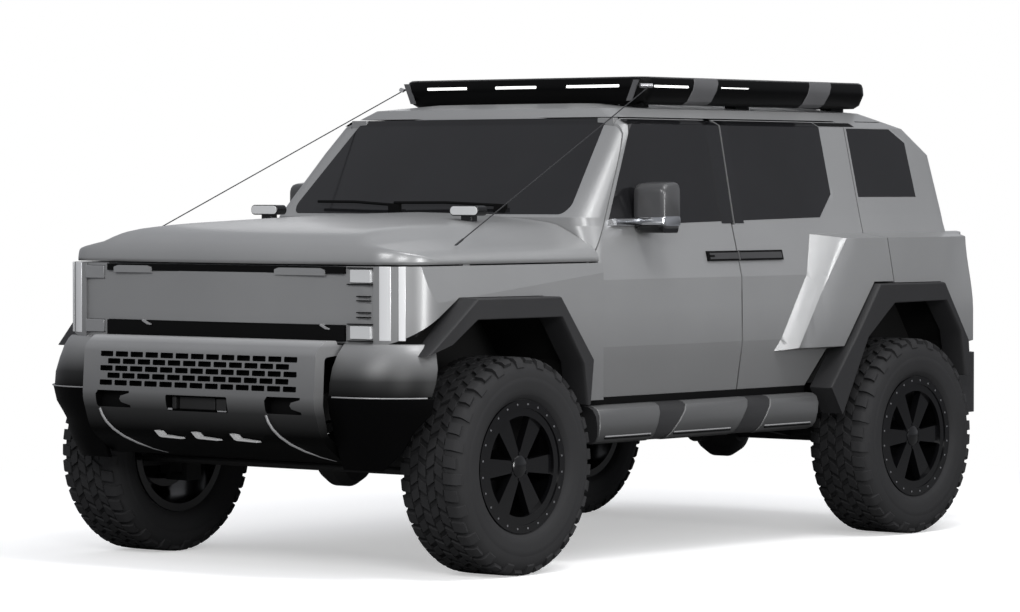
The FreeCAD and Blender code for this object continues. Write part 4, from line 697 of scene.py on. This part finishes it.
def wrap(levels):
    """A curved corner panel through its levels."""
    loops = []
    for height, half, face, tip, bend in levels:
        outer = []
        inner = []
        end = math.acos(max(-1, 1 - (tip - face) / bend))
        for k in range(4):
            x = corner_start + (half - bend - corner_start) * k / 4
            outer.append((x, face, height))
            inner.append((x, face + corner_wall, height))
        thin = bend - corner_wall
        for k in range(corner_steps + 1):
            turn = end * k / corner_steps
            outer.append((half - bend + bend * math.sin(turn), face + bend - bend * math.cos(turn), height))
            inner.append((half - bend + thin * math.sin(turn), face + bend - thin * math.cos(turn), height))
        loops.append(outer + inner[::-1])
    return prism_mesh(loops)


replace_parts(piece("corner_panels", pair(wrap(corner_levels)), corner_paint, smooth=40,
                  bevel=0.004), "bumper_corners")
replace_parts(piece("corner_skirts", pair(wrap(skirt_levels)), skirt_black, smooth=40,
                  bevel=0.004), "bumper_skirts")
seam_height = 0.7345
seam_x, seam_y, seam_bend = 1.0695 - 0.312, -2.096 + 0.312, 0.3145
seam = [(0.680, -2.0985, seam_height)]
for k in range(15):
    turn = math.radians(62) * k / 14
    seam.append((seam_x + seam_bend * math.sin(turn), seam_y - seam_bend * math.cos(turn), seam_height))
piece("corner_lines", pair(rod(seam, 0.0028)), mark_and_highlight_grey, smooth=40)


# Arch trims, in shares of the tyre's radius

front_band = [(-1.190, 2.030), (-0.611, 2.542), (0.611, 2.538), (1.095, 1.937), (1.045, 1.523), (0.985, 1.523),
              (0.925, 1.915), (0.595, 2.348), (-0.584, 2.348), (-0.919, 2.134)]
rear_band = [(-1.452, 1.542), (-0.997, 2.060), (-0.597, 2.568), (0.602, 2.566), (1.048, 1.950), (1.080, 1.590),
             (0.970, 1.590), (0.873, 2.059), (0.602, 2.376), (-0.310, 2.364), (-0.778, 2.036), (-1.231, 1.272)]
band_root = 0.9555
band_edge = 0.009
band_middle = 0.98
taper_front, taper_rate = -1.790, 0.32


def arch_band(axle, shares, half):
    """One arch trim as a band round its wheel, bevelled outside, and drawn in towards the nose."""
    outline = [(axle + a * tyre_radius, b * tyre_radius) for a, b in shares]
    middle = Vector((axle, band_middle))
    count = len(outline) // 2
    loops = []
    for x, move in ((band_root, 0.0), (half - 0.016, 0.0), (half - 0.004, band_edge * 0.6), (half, band_edge)):
        loop = []
        for i, spot in enumerate(outline):
            way = (Vector(spot) - middle).normalized()
            sign = -1 if i < count else 1
            taper = max(taper_front - spot[0], 0) * taper_rate
            loop.append((x - taper * (x > band_root), spot[0] + way.x * move * sign, spot[1] + way.y * move * sign))
        loops.append(loop)
    return prism_mesh(loops)


trims = joined([arch_band(front_axle, front_band, 1.079), arch_band(rear_axle, rear_band, 1.074)])
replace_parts(piece("arch_covers", pair(trims), black_trim, smooth=30, bevel=0.003), "arch_trims")


# Hood

hood_edge_z = 1.258
hood_rear_y = -0.777
nose_face_y = -1.980
nose_bend = 0.190
side_half = 0.964
hood_blend = 0.016
hood_front = [(0.000, 1.440), (0.350, 1.426), (0.560, 1.410), (0.630, 1.402), (0.672, 1.386), (0.705, 1.360),
              (0.740, 1.338), (0.800, 1.326), (0.900, 1.308), (0.944, 1.296), (0.960, 1.284), (0.964, 1.272)]
hood_rear = [(0.000, 1.464), (0.350, 1.452), (0.600, 1.432), (0.700, 1.420), (0.745, 1.410), (0.785, 1.392),
             (0.830, 1.370), (0.870, 1.350), (0.905, 1.332), (0.940, 1.310), (0.958, 1.292), (0.964, 1.276)]
hood_along = [(0.000, 1.272), (0.004, 1.296), (0.012, 1.316), (0.028, 1.338), (0.055, 1.358), (0.095, 1.376),
              (0.160, 1.392), (0.280, 1.407), (0.420, 1.421), (0.700, 1.440), (1.000, 1.455), (1.300, 1.466)]
hood_rows = [0, 0.002, 0.005, 0.010, 0.016, 0.024, 0.034, 0.048, 0.066, 0.090, 0.125, 0.175, 0.25, 0.33]


def table(rows, spot):
    """A height read from a table of places."""
    for (a, low), (b, high) in zip(rows, rows[1:]):
        if spot <= b:
            return low + (high - low) * (spot - a) / (b - a)
    return rows[-1][1]


def nose_line(x):
    """The nose's edge in plan."""
    x = abs(x)
    flat = side_half - nose_bend
    if x <= flat:
        return -2.010 + 0.030 * (x / flat) ** 2
    return nose_face_y + nose_bend - math.sqrt(max(nose_bend ** 2 - (x - flat) ** 2, 0))


def hood_height(x, y, front):
    """The lower of the hood's cross curve and its length curve, eased where they meet."""
    share = min(max((y + 2.0) / 1.25, 0), 1)
    across = table(hood_front, abs(x)) * (1 - share) + table(hood_rear, abs(x)) * share
    along = table(hood_along, y - front)
    blend = max(hood_blend - abs(across - along), 0) / hood_blend
    return min(across, along) - blend * blend * hood_blend / 4


def hood_skin():
    """The hood's outer skin with its edges turned down."""
    flat = side_half - nose_bend
    half = [flat * k / 24 for k in range(24)]
    half += [flat + nose_bend * math.sin(math.radians(a)) for a in range(0, 91, 6)]
    columns = []
    for x in [-x for x in half[:0:-1]] + half:
        front = nose_line(x)
        rear = hood_rear_y + 0.024 * min(max((abs(x) - 0.5) / 0.3, 0), 1)
        last = hood_rows[-1]
        ys = [front + d for d in hood_rows]
        ys += [front + last + (rear - front - last) * k / 30 for k in range(1, 31)]
        columns.append([(x, ys[0], hood_edge_z)] + [(x, y, hood_height(x, y, front)) for y in ys]
                       + [(x, ys[-1], hood_edge_z)])
    count = len(columns[0])
    hems = [[(x, y, hood_edge_z) for x, y, _ in column] for column in (columns[0], columns[-1])]
    columns = [hems[0]] + columns + [hems[1]]
    faces = []
    for i in range(len(columns) - 1):
        for k in range(count - 1):
            a = i * count + k
            faces.append((a, a + 1, a + count + 1, a + count))
    mesh = mesh_of([p for column in columns for p in column], faces)
    form = opened(mesh)
    bmesh.ops.remove_doubles(form, verts=form.verts, dist=0.00005)
    bmesh.ops.recalc_face_normals(form, faces=form.faces)
    if sum(face.normal.z * face.calc_area() for face in form.faces) < 0:
        bmesh.ops.reverse_faces(form, faces=form.faces)
    return closed(form, mesh)


hood_piece = piece("hood_shell", hood_skin(), paint, "hood", smooth=50)
wall = hood_piece.modifiers.new("wall", "SOLIDIFY")
wall.thickness = 0.018
wall.offset = -1
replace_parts(hood_piece, "hood")


# Front panel and lamps

slot_half = 0.659
lamp_span = (0.686, 0.794)
lamp_floors = (0.961, 1.185)
strip_floor, strip_middle, strip_top = 0.958, 1.09, 1.252
strip_x, strip_y = side_half + 0.024 - nose_bend, nose_face_y + nose_bend

slots = [box_mesh((-slot_half, -2.004, floor), (slot_half, -1.969, top))
         for floor, top in ((1.2215, 1.2495), (0.953, 1.016))]
piece("slot_depths", joined(slots), pit_and_shadow_black)
lips = []
for x0, x1 in ((-0.615, -0.400), (0.290, 0.560)):
    outline = rounded([(x0, 1.214), (x1, 1.214), (x1, 1.236), (x1 - 0.025, 1.243), (x0 + 0.025, 1.243), (x0, 1.236)],
                      [0, 0, 0.004, 0.006, 0.006, 0.004], 3)
    lips.append(slab("y", -2.0105, -1.985, outline))
piece("slot_lips", joined(lips), paint, smooth=40)
tab_outline = [(-0.030, 1.022), (0.000, 1.008), (0.014, 1.004), (0.016, 0.998), (-0.004, 1.000), (-0.034, 1.014)]
tabs = [prism_mesh([[(x + a, -2.012 + push, b) for a, b in tab_outline] for push in (0.0, 0.02)])
        for x in (-0.418, 0.570)]
piece("slot_tabs", joined(tabs), mark_and_highlight_grey, bevel=0.001)


def lenses(sign):
    """The two lamp lenses of one side, each inside its seat."""
    low, high = sorted((sign * lamp_span[0], sign * lamp_span[1]))
    return joined([slab("y", -1.9975, -1.9795, window(low, high, floor + 0.002, floor + 0.054, 0.003))
                   for floor in lamp_floors])


# Painted light and shade: the left lenses are light and glow a little, the right lenses are a darker grey.
lens = piece("lenses_left", lenses(LEFT), lamp_white, smooth=30, bevel=0.003)
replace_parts(lens, "headlamps")
piece("lenses_right", lenses(RIGHT), shaded_lamp_grey, smooth=30, bevel=0.003)
lines = [box_mesh((0.672, -2.0005, z - 0.0018), (0.800, -1.975, z + 0.0018)) for z in (0.955, 1.0225, 1.1805, 1.246)]
lines += [box_mesh((0.722, -2.0000, z - 0.0020), (0.786, -1.975, z + 0.0020)) for z in (1.133, 1.116, 1.069, 1.050)]
piece("lamp_lines", joined(lines), pit_and_shadow_black)


def nose_strip(start, end, proud):
    """A raised strip round the nose corner between two turns in degrees."""
    loops = []
    for z in (strip_floor, strip_middle, strip_top):
        loop = []
        for offset, way in ((proud, 1), (-0.012, -1)):
            for turn in [start + (end - start) * k / 5 for k in range(6)][::way]:
                a = math.radians(turn)
                r = nose_bend + offset
                loop.append((strip_x + r * math.sin(a), strip_y - r * math.cos(a), z))
        loops.append(loop)
    return prism_mesh(loops)


# Painted highlights: raised near-white strips on the nose corners stand for the bright bands of light there; the
# grooves between them keep the body paint.
nose = joined([nose_strip(9, 24, 0.007), nose_strip(33, 41.5, 0.007)])
piece("nose_highlight_strips", pair(nose), highlight_paint, smooth=30, bevel=0.002)
piece("nose_grooves", pair(nose_strip(24, 33, 0.004)), paint, smooth=30)


# Rear quarters

quarter_front = 1.70


def ease(value):
    """A smooth step from 0 to 1."""
    value = min(max(value, 0), 1)
    return value * value * (3 - 2 * value)


quarters = nodes["quarter_panels"].data.copy()
cuts = [((0, quarter_front + 0.03 * k, 0), (0, 1, 0)) for k in range(12)]
cuts += [((sign * (0.90 + 0.02 * k), 0, 0), (1, 0, 0)) for k in range(8) for sign in (LEFT, RIGHT)]
cuts += [((0, 0, 1.00 + 0.05 * k), (0, 0, 1)) for k in range(8)]
form = sliced(quarters, cuts)
for vert in form.verts:
    x, y, z = abs(vert.co.x), vert.co.y, vert.co.z
    if y > quarter_front and z < 1.40:
        pull = ease((x - 0.90) / 0.08) * ease((z - 1.00) / 0.36)
        vert.co.y = quarter_front + (y - quarter_front) * (1 - 0.15 * pull)
        vert.co.x -= math.copysign(0.022 * pull * ease((y - quarter_front) / 0.20), vert.co.x)
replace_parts(piece("quarter_skins", closed(form, quarters), paint, smooth=28), "quarter_panels")


# Doors

door_creases = (0.780, 0.900, 0.990, 1.110, 1.180, 1.250)
flare_floor, flare_top = 0.83, 1.37
flare_root_half, flare_half = 0.880, 1.045
flare_rate = 1.1
flare_ease = 0.032
flare_reach = 0.045


def door_skin(key):
    """A door with soft creases, and with the flare's front edge rounded on a rear door."""
    rear = key.startswith("rear")
    node = nodes["door_" + key]
    mesh = node.data.copy()
    mesh.transform(node.matrix_world)
    cuts = [((0, 0, z), (0, 0, 1)) for z in door_creases]
    if rear:
        cuts += [((0, 0.500 + 0.018 * k, 0), (0, 1, 0)) for k in range(32)]
    form = sliced(mesh, cuts)
    for vert in form.verts:
        x, y, z = abs(vert.co.x), vert.co.y, vert.co.z
        if rear and x > side_x(z) + 0.001 and flare_floor < z < flare_top:
            run = y - (0.430 + (z - 0.838) * 0.360 / 0.526)
            gap = (flare_root_half + flare_rate * run - flare_half) / flare_ease
            fall = flare_ease * math.log(1 + math.exp(-abs(gap))) * min((x - side_x(z)) / flare_reach, 1)
            vert.co.x = math.copysign(x - fall, vert.co.x)
    skin = piece("door_skin_" + key, closed(form, mesh), paint, "door_" + key, smooth=28)
    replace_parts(skin, "door_" + key)


for key in CORNERS:
    door_skin(key)


# Sides

glass_floor, glass_top, strip_foot = 1.410, 1.857, 1.838
bar_floor, bar_top, bar_rise = 1.252, 1.289, 0.0084


def skin_strip(floor, top, front, rear, proud=0.002, thick=0.006, steps=4, leans=(0.0, 0.0)):
    """A plate that follows the left side of the body."""
    loops = []
    heights = {floor + (top - floor) * k / steps for k in range(steps + 1)}
    heights.update(level[0] for level in body_levels if floor + 0.002 < level[0] < top - 0.002)
    for z in sorted(heights):
        x = side_x(z) + proud
        ahead = front + leans[0] * (z - floor)
        behind = rear + leans[1] * (z - floor)
        loops.append([(x, ahead, z), (x, behind, z), (x - thick, behind, z), (x - thick, ahead, z)])
    return prism_mesh(loops)


def on_doors(name, end, mesh, skin, smooth=None, bevel=0.0):
    """The same piece on the left and the right door."""
    other = mirrored(mesh)
    piece(name + "_left", mesh, skin, "door_" + end + "_left", smooth, bevel)
    piece(name + "_right", other, skin, "door_" + end + "_right", smooth, bevel)


for end, span, leans, head_span in (("front", (0.185, 0.2500), (0, -0.0285), (-0.350, 0.2370)),
                                    ("rear", (0.2800, 0.345), (0.048, 0), (0.3020, 1.040))):
    pillar = skin_strip(glass_floor, glass_top, *span, leans=leans)
    head = skin_strip(strip_foot, glass_top, *head_span, steps=1)
    on_doors("door_black_" + end, end, joined([pillar, head]), glass_black, smooth=30)
post = skin_strip(1.412, 1.856, 0.2550, 0.2740, -0.004, 0.010, leans=(-0.030, 0.048))
piece("pillar_posts", pair(post), glass_black, smooth=30)
sill = box_mesh((0.9290, -0.830, 0.656), (0.9345, 0.750, 0.6885))
piece("sill_shadows", pair(sill), pit_and_shadow_black)
drip = skin_strip(1.840, glass_top, 1.050, 1.330, steps=1)
piece("drip_strips", pair(drip), pit_and_shadow_black)
for end, edge_span, face_span in (("front", (0.033 - 0.004, 0.2495), (0.033 + 0.010, 0.2495)),
                                  ("rear", (0.2615, 0.573 + 0.004), (0.2615, 0.573 - 0.006))):
    edge = skin_strip(bar_floor - 0.003, bar_top + 0.003, *edge_span, bar_rise + 0.0008, 0.011, 1)
    on_doors("handle_edge_" + end, end, edge, pit_and_shadow_black)
    face = skin_strip(bar_floor + 0.005, bar_top - 0.005, *face_span, bar_rise + 0.0022, 0.006, 1)
    on_doors("handle_face_" + end, end, face, handle_grey, bevel=0.0008)
slit = skin_strip(1.266, 1.275, 0.040, 0.075, bar_rise + 0.0030, 0.004, 1)
on_doors("handle_slit", "front", slit, pit_and_shadow_black)
corner_block = box_mesh((0.655, -0.371, 1.812), (0.7425, -0.340, 1.862))
piece("pillar_corners", pair(corner_block), paint, bevel=0.002)


# Mirrors

def mirror_parts(sign, side):
    """One mirror's housing, chrome band and arm, lower cap and glass."""
    body = "door_front_" + side
    outline = rounded([(-0.440, 1.388), (-0.318, 1.388), (-0.318, 1.592), (-0.440, 1.580)],
                      [0.030, 0.022, 0.030, 0.040], 5)
    middle = Vector((-0.379, 1.489))
    loops = []
    for x, grow in ((0.900, -0.010), (0.908, -0.002), (0.930, 0.0), (1.040, 0.0), (1.056, -0.004), (1.0635, -0.014)):
        loop = []
        for y, z in outline:
            way = Vector((y, z)) - middle
            spot = middle + way * (1 + grow / way.length)
            loop.append((sign * x, spot.x, spot.y))
        loops.append(loop)
    holder = piece("mirror_box_" + side, prism_mesh(loops), mirror_grey, body, smooth=50)
    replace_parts(holder, "mirror_" + side)
    outline = window(-0.4435, -0.3150, 1.404, 1.444, 0.012, 3)
    loops = [[(sign * x, middle.x + (y - middle.x) * (1 + grow / 0.06), z) for y, z in outline]
             for x, grow in ((0.897, -0.006), (0.903, 0.0), (1.046, 0.0), (1.0600, -0.003), (1.0650, -0.010))]
    band = [prism_mesh(loops)]
    arm = rounded([(0.890, 1.406), (0.930, 1.404), (0.930, 1.436), (0.890, 1.432)], [0.004] * 4, 2)
    band.append(prism_mesh([[(sign * (x + lean), y, z) for x, z in arm]
                            for y, lean in ((-0.590, 0.0), (-0.520, 0.004), (-0.425, 0.012))]))
    piece("mirror_band_" + side, joined(band), chrome, body, smooth=40)
    cap = rounded([(-0.438, 1.374), (-0.322, 1.374), (-0.318, 1.403), (-0.442, 1.403)], [0.014, 0.014, 0, 0], 4)
    loops = [[(sign * x, -0.380 + (y + 0.380) * grow, z) for y, z in cap]
             for x, grow in ((0.925, 0.90), (0.940, 0.98), (1.040, 0.98), (1.055, 0.90))]
    piece("mirror_cap_" + side, prism_mesh(loops), gloss_black, body, smooth=40)
    glass = window(0.928, 1.044, 1.452, 1.574, 0.018, 4)
    pane = slab("y", -0.3185, -0.3150, [(sign * x, z) for x, z in glass])
    piece("mirror_glass_" + side, pane, chrome, body)


for sign, side in SIDES:
    mirror_parts(sign, side)


# Side steps

step_section = [(0.942, 0.502), (0.990, 0.502), (1.015, 0.512), (1.027, 0.535), (1.029, 0.575), (1.022, 0.618),
                (1.004, 0.646), (0.980, 0.658), (0.942, 0.660)]
step_floor, step_depth = 0.502, 0.158
line_spans = ((-0.790, -0.480), (-0.320, 0.080), (0.330, 0.670))


def step_part(foot_span, head_span, inset=0.0):
    """A stretch of the step between slanted ends."""
    loops = []
    for end in (0, 1):
        loop = []
        for x, z in step_section:
            share = (z - step_floor) / step_depth
            y = foot_span[end] + (head_span[end] - foot_span[end]) * share
            outer = x > 0.95
            loop.append((x - inset * outer, y, z + inset * (0.58 - z) / 0.08 * outer * 0.6))
        loops.append(loop)
    return prism_mesh(loops)


def step_rods(end_x, middle_x, height, radius):
    """Thin rods along the outer face of each stretch."""
    rods = [rod([(end_x, a, height), (middle_x, a + 0.02, height), (middle_x, b - 0.02, height),
                 (end_x, b, height)], radius) for a, b in line_spans]
    return pair(joined(rods))


steps = joined([step_part((-0.838, -0.464), (-0.810, -0.384)), step_part((-0.367, 0.107), (-0.188, 0.252)),
                step_part((0.274, 0.700), (0.416, 0.757))])
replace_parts(piece("step_covers", pair(steps), step_grey, smooth=50, bevel=0.004), "side_steps")
bands = joined([step_part((-0.463, -0.368), (-0.383, -0.189), 0.004),
                step_part((0.108, 0.273), (0.253, 0.415), 0.004),
                step_part((-0.8395, -0.8385), (-0.8395, -0.8110), 0.003)])
piece("step_bands", pair(bands), black_trim, smooth=50)
# Painted highlight and painted shadow: a light rod along each step's lower edge, a black rod just under it.
piece("step_highlight_lines", step_rods(1.0265, 1.0290, 0.533, 0.0032), mark_and_highlight_grey, smooth=40)
piece("step_shadows", step_rods(1.0255, 1.0280, 0.525, 0.0028), pit_and_shadow_black, smooth=40)


# Roof rack

rack_half, rack_front, rack_rear = 0.690, -0.100, 1.610
rack_levels = [(1.926, 0.040, 0.050), (1.942, 0.018, 0.062), (1.990, 0.000, 0.075), (2.022, 0.002, 0.075),
               (2.038, 0.008, 0.070), (2.0445, 0.020, 0.060)]
rack_beam, rack_inner_bend = 0.084, 0.040
slat_count = 8
slat_half = 0.042
rack_top = 2.0449
lens_depth, lens_proud = 0.006, 0.0012


def rack_loop(height, inset, bend):
    """A rounded outline of the rack."""
    low, high = rack_front + inset, rack_rear - inset
    half = rack_half - inset
    return [(x, y, height) for x, y in rounded([(-half, low), (half, low), (half, high), (-half, high)], [bend] * 4)]


outer = [rack_loop(*level) for level in rack_levels]
inner = [rack_loop(level[0], rack_beam, rack_inner_bend) for level in reversed(rack_levels)]
tray = [ring_mesh(outer + inner)]
for i in range(slat_count):
    y = rack_front + (rack_rear - rack_front) * (i + 0.5) / slat_count
    tray.append(box_mesh((-0.612, y - slat_half, 2.017), (0.612, y + slat_half, 2.039)))
tray += [box_mesh((sign * 0.56 - 0.03, y - 0.05, 1.912), (sign * 0.56 + 0.03, y + 0.05, 1.990))
         for sign in (LEFT, RIGHT) for y in (0.02, 0.755, 1.49)]
tray += [box_mesh((0.02 + 0.046 * i, -0.052, 1.917), (0.048 + 0.046 * i, -0.036, 1.932)) for i in range(14)]
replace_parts(piece("rack_tray", joined(tray), rack_black, smooth=35), "roof_rack")
lights = [slab("y", rack_front - lens_proud, rack_front + 0.01, window(x0, x1, 1.999, 2.011, 0.003))
          for x0, x1 in ((-0.530, -0.300), (-0.135, 0.098), (0.268, 0.560))]
side_lens = window(-0.020, 0.225, 1.998, 2.008, 0.003)
side_line = [(0.465, 2.001), (0.665, 2.001), (0.665, 2.006), (0.465, 2.006)]
lights += [slab("x", rack_half - lens_depth, rack_half + lens_proud, shape) for shape in (side_lens, side_line)]
piece("rack_lights", joined(lights), slot_white)
other = slab("x", -rack_half - lens_proud, -rack_half + lens_depth, side_lens)
piece("rack_lights_right", other, slot_white)
wrap_path = [(0.6035, rack_top), (0.665, rack_top), (0.6825, 2.0400), (0.6915, 2.022), (0.6925, 1.990), (0.6745, 1.941),
             (0.650, 1.9245), (0.6035, 1.9245)]
wraps = [prism_mesh([[(x, y - lean * (rack_top - z) / 0.12, z) for x, z in wrap_path] for y in span])
         for span, lean in (((0.277, 0.450), 0.045), ((1.143, 1.309), 0.050))]
piece("rack_wraps", pair(joined(wraps)), wrap_grey, smooth=40, bevel=0.001)
clip = rod([(0.680, -0.106, 2.004), (0.710, -0.060, 2.004)], 0.010, 12)
piece("rack_clips", pair(clip), steel, smooth=40)
patch = slab("y", -0.1025, -0.096, [(0.600, 1.940), (0.628, 1.940), (0.668, 2.030), (0.640, 2.030)])
piece("rack_patch", pair(patch), wrap_grey)


# Lamps on the hood, and wipers

pod_middle = 0.562

pods, faces, stems = [], [], []
for sign in (LEFT, RIGHT):
    x = sign * pod_middle
    pods.append(slab("y", -1.145, -1.085, window(x - 0.077, x + 0.077, 1.4475, 1.4905, 0.0205, 6)))
    faces.append(slab("y", -1.1485, -1.13, window(x - 0.0725, x + 0.0725, 1.4515, 1.4868, 0.017, 6)))
    stems.append(box_mesh((x - 0.028, -1.132, 1.405), (x + 0.028, -1.092, 1.452)))
pod_piece = piece("lamp_pods", joined(pods + stems), gloss_black, "hood", smooth=40, bevel=0.002)
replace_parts(pod_piece, "ditch_lamps")
piece("lamp_faces", joined(faces), lamp_white, "hood", smooth=40, bevel=0.0015)

wipers = []
for root, tip in (((0.42, -0.737, 1.490), (-0.16, -0.752, 1.500)), ((-0.16, -0.752, 1.490), (-0.62, -0.731, 1.504))):
    middle = Vector(root).lerp(Vector(tip), 0.5) + Vector((0, -0.003, 0.006))
    wipers.append(rod([root, middle, tip], 0.007, 6))
    x, y, z = root
    wipers.append(box_mesh((x - 0.03, y - 0.008, z - 0.034), (x + 0.03, y + 0.012, z + 0.005)))
piece("wipers", joined(wipers), pit_and_shadow_black, smooth=40)


# Seats

crown_power = 3.2
cushion_rings, cushion_sides = 14, 28
channel_depth = 0.006


def bulge(value):
    """A sine or cosine pushed out towards a box."""
    return math.copysign(abs(value) ** (2 / crown_power), value)


def cushion(low, high, tilt, channels):
    """A closed crowned form inside a box, leaning back by a tilt, with sewn channels."""
    middle = (Vector(low) + Vector(high)) / 2
    size = (Vector(high) - Vector(low)) / 2
    points = [tuple(middle - Vector((0, 0, size.z)))]
    for i in range(1, cushion_rings):
        rise = -math.pi / 2 + math.pi * i / cushion_rings
        for k in range(cushion_sides):
            turn = 2 * math.pi * k / cushion_sides
            spot = Vector((bulge(math.cos(rise)) * bulge(math.cos(turn)), bulge(math.cos(rise)) * bulge(math.sin(turn)),
                           bulge(math.sin(rise))))
            dent = channel_depth * max(math.cos(spot.x * math.pi * channels), 0) ** 8 if channels else 0
            points.append((middle.x + size.x * spot.x, middle.y + (size.y - dent) * spot.y,
                           middle.z + (size.z - dent) * spot.z))
    points.append(tuple(middle + Vector((0, 0, size.z))))
    faces = [(0, 1 + (k + 1) % cushion_sides, 1 + k) for k in range(cushion_sides)]
    for i in range(cushion_rings - 2):
        a, b = 1 + i * cushion_sides, 1 + (i + 1) * cushion_sides
        for k in range(cushion_sides):
            j = (k + 1) % cushion_sides
            faces.append((a + k, a + j, b + j, b + k))
    last = 1 + (cushion_rings - 2) * cushion_sides
    faces += [(last + k, last + (k + 1) % cushion_sides, len(points) - 1) for k in range(cushion_sides)]
    points = [(x, y + tilt * (z - low[2]), z) for x, y, z in points]
    return mesh_of(points, faces)


pads = []
for x0, x1 in ((0.155, 0.630), (-0.630, -0.155)):
    pads += [cushion((x0, 0.000, 0.870), (x1, 0.470, 1.010), 0.0, 2),
             cushion((x0 + 0.02, 0.03, 0.720), (x1 - 0.02, 0.45, 0.900), 0.0, 0),
             cushion((x0 + 0.01, 0.400, 0.960), (x1 - 0.01, 0.520, 1.440), 0.16, 2),
             cushion((x0 + 0.11, 0.480, 1.420), (x1 - 0.11, 0.580, 1.590), 0.0, 0)]
pads += [cushion((-0.630, 0.780, 0.880), (0.630, 1.200, 1.020), 0.0, 6),
         cushion((-0.610, 0.800, 0.720), (0.610, 1.180, 0.910), 0.0, 0),
         cushion((-0.630, 1.090, 0.980), (0.630, 1.190, 1.460), 0.10, 6)]
pads += [cushion((x - 0.12, 1.130, 1.430), (x + 0.12, 1.235, 1.575), 0.0, 0) for x in (-0.40, 0.40)]
seat_piece = piece("seat_cushions", joined(pads), leather, smooth=60)
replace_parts(seat_piece, "seats")


# Studio, camera and view

studio()
look((12.1496, -14.9209, 1.5638), 39.461, 1.558, 153.37)
bpy.context.scene.view_settings.view_transform = "Standard"
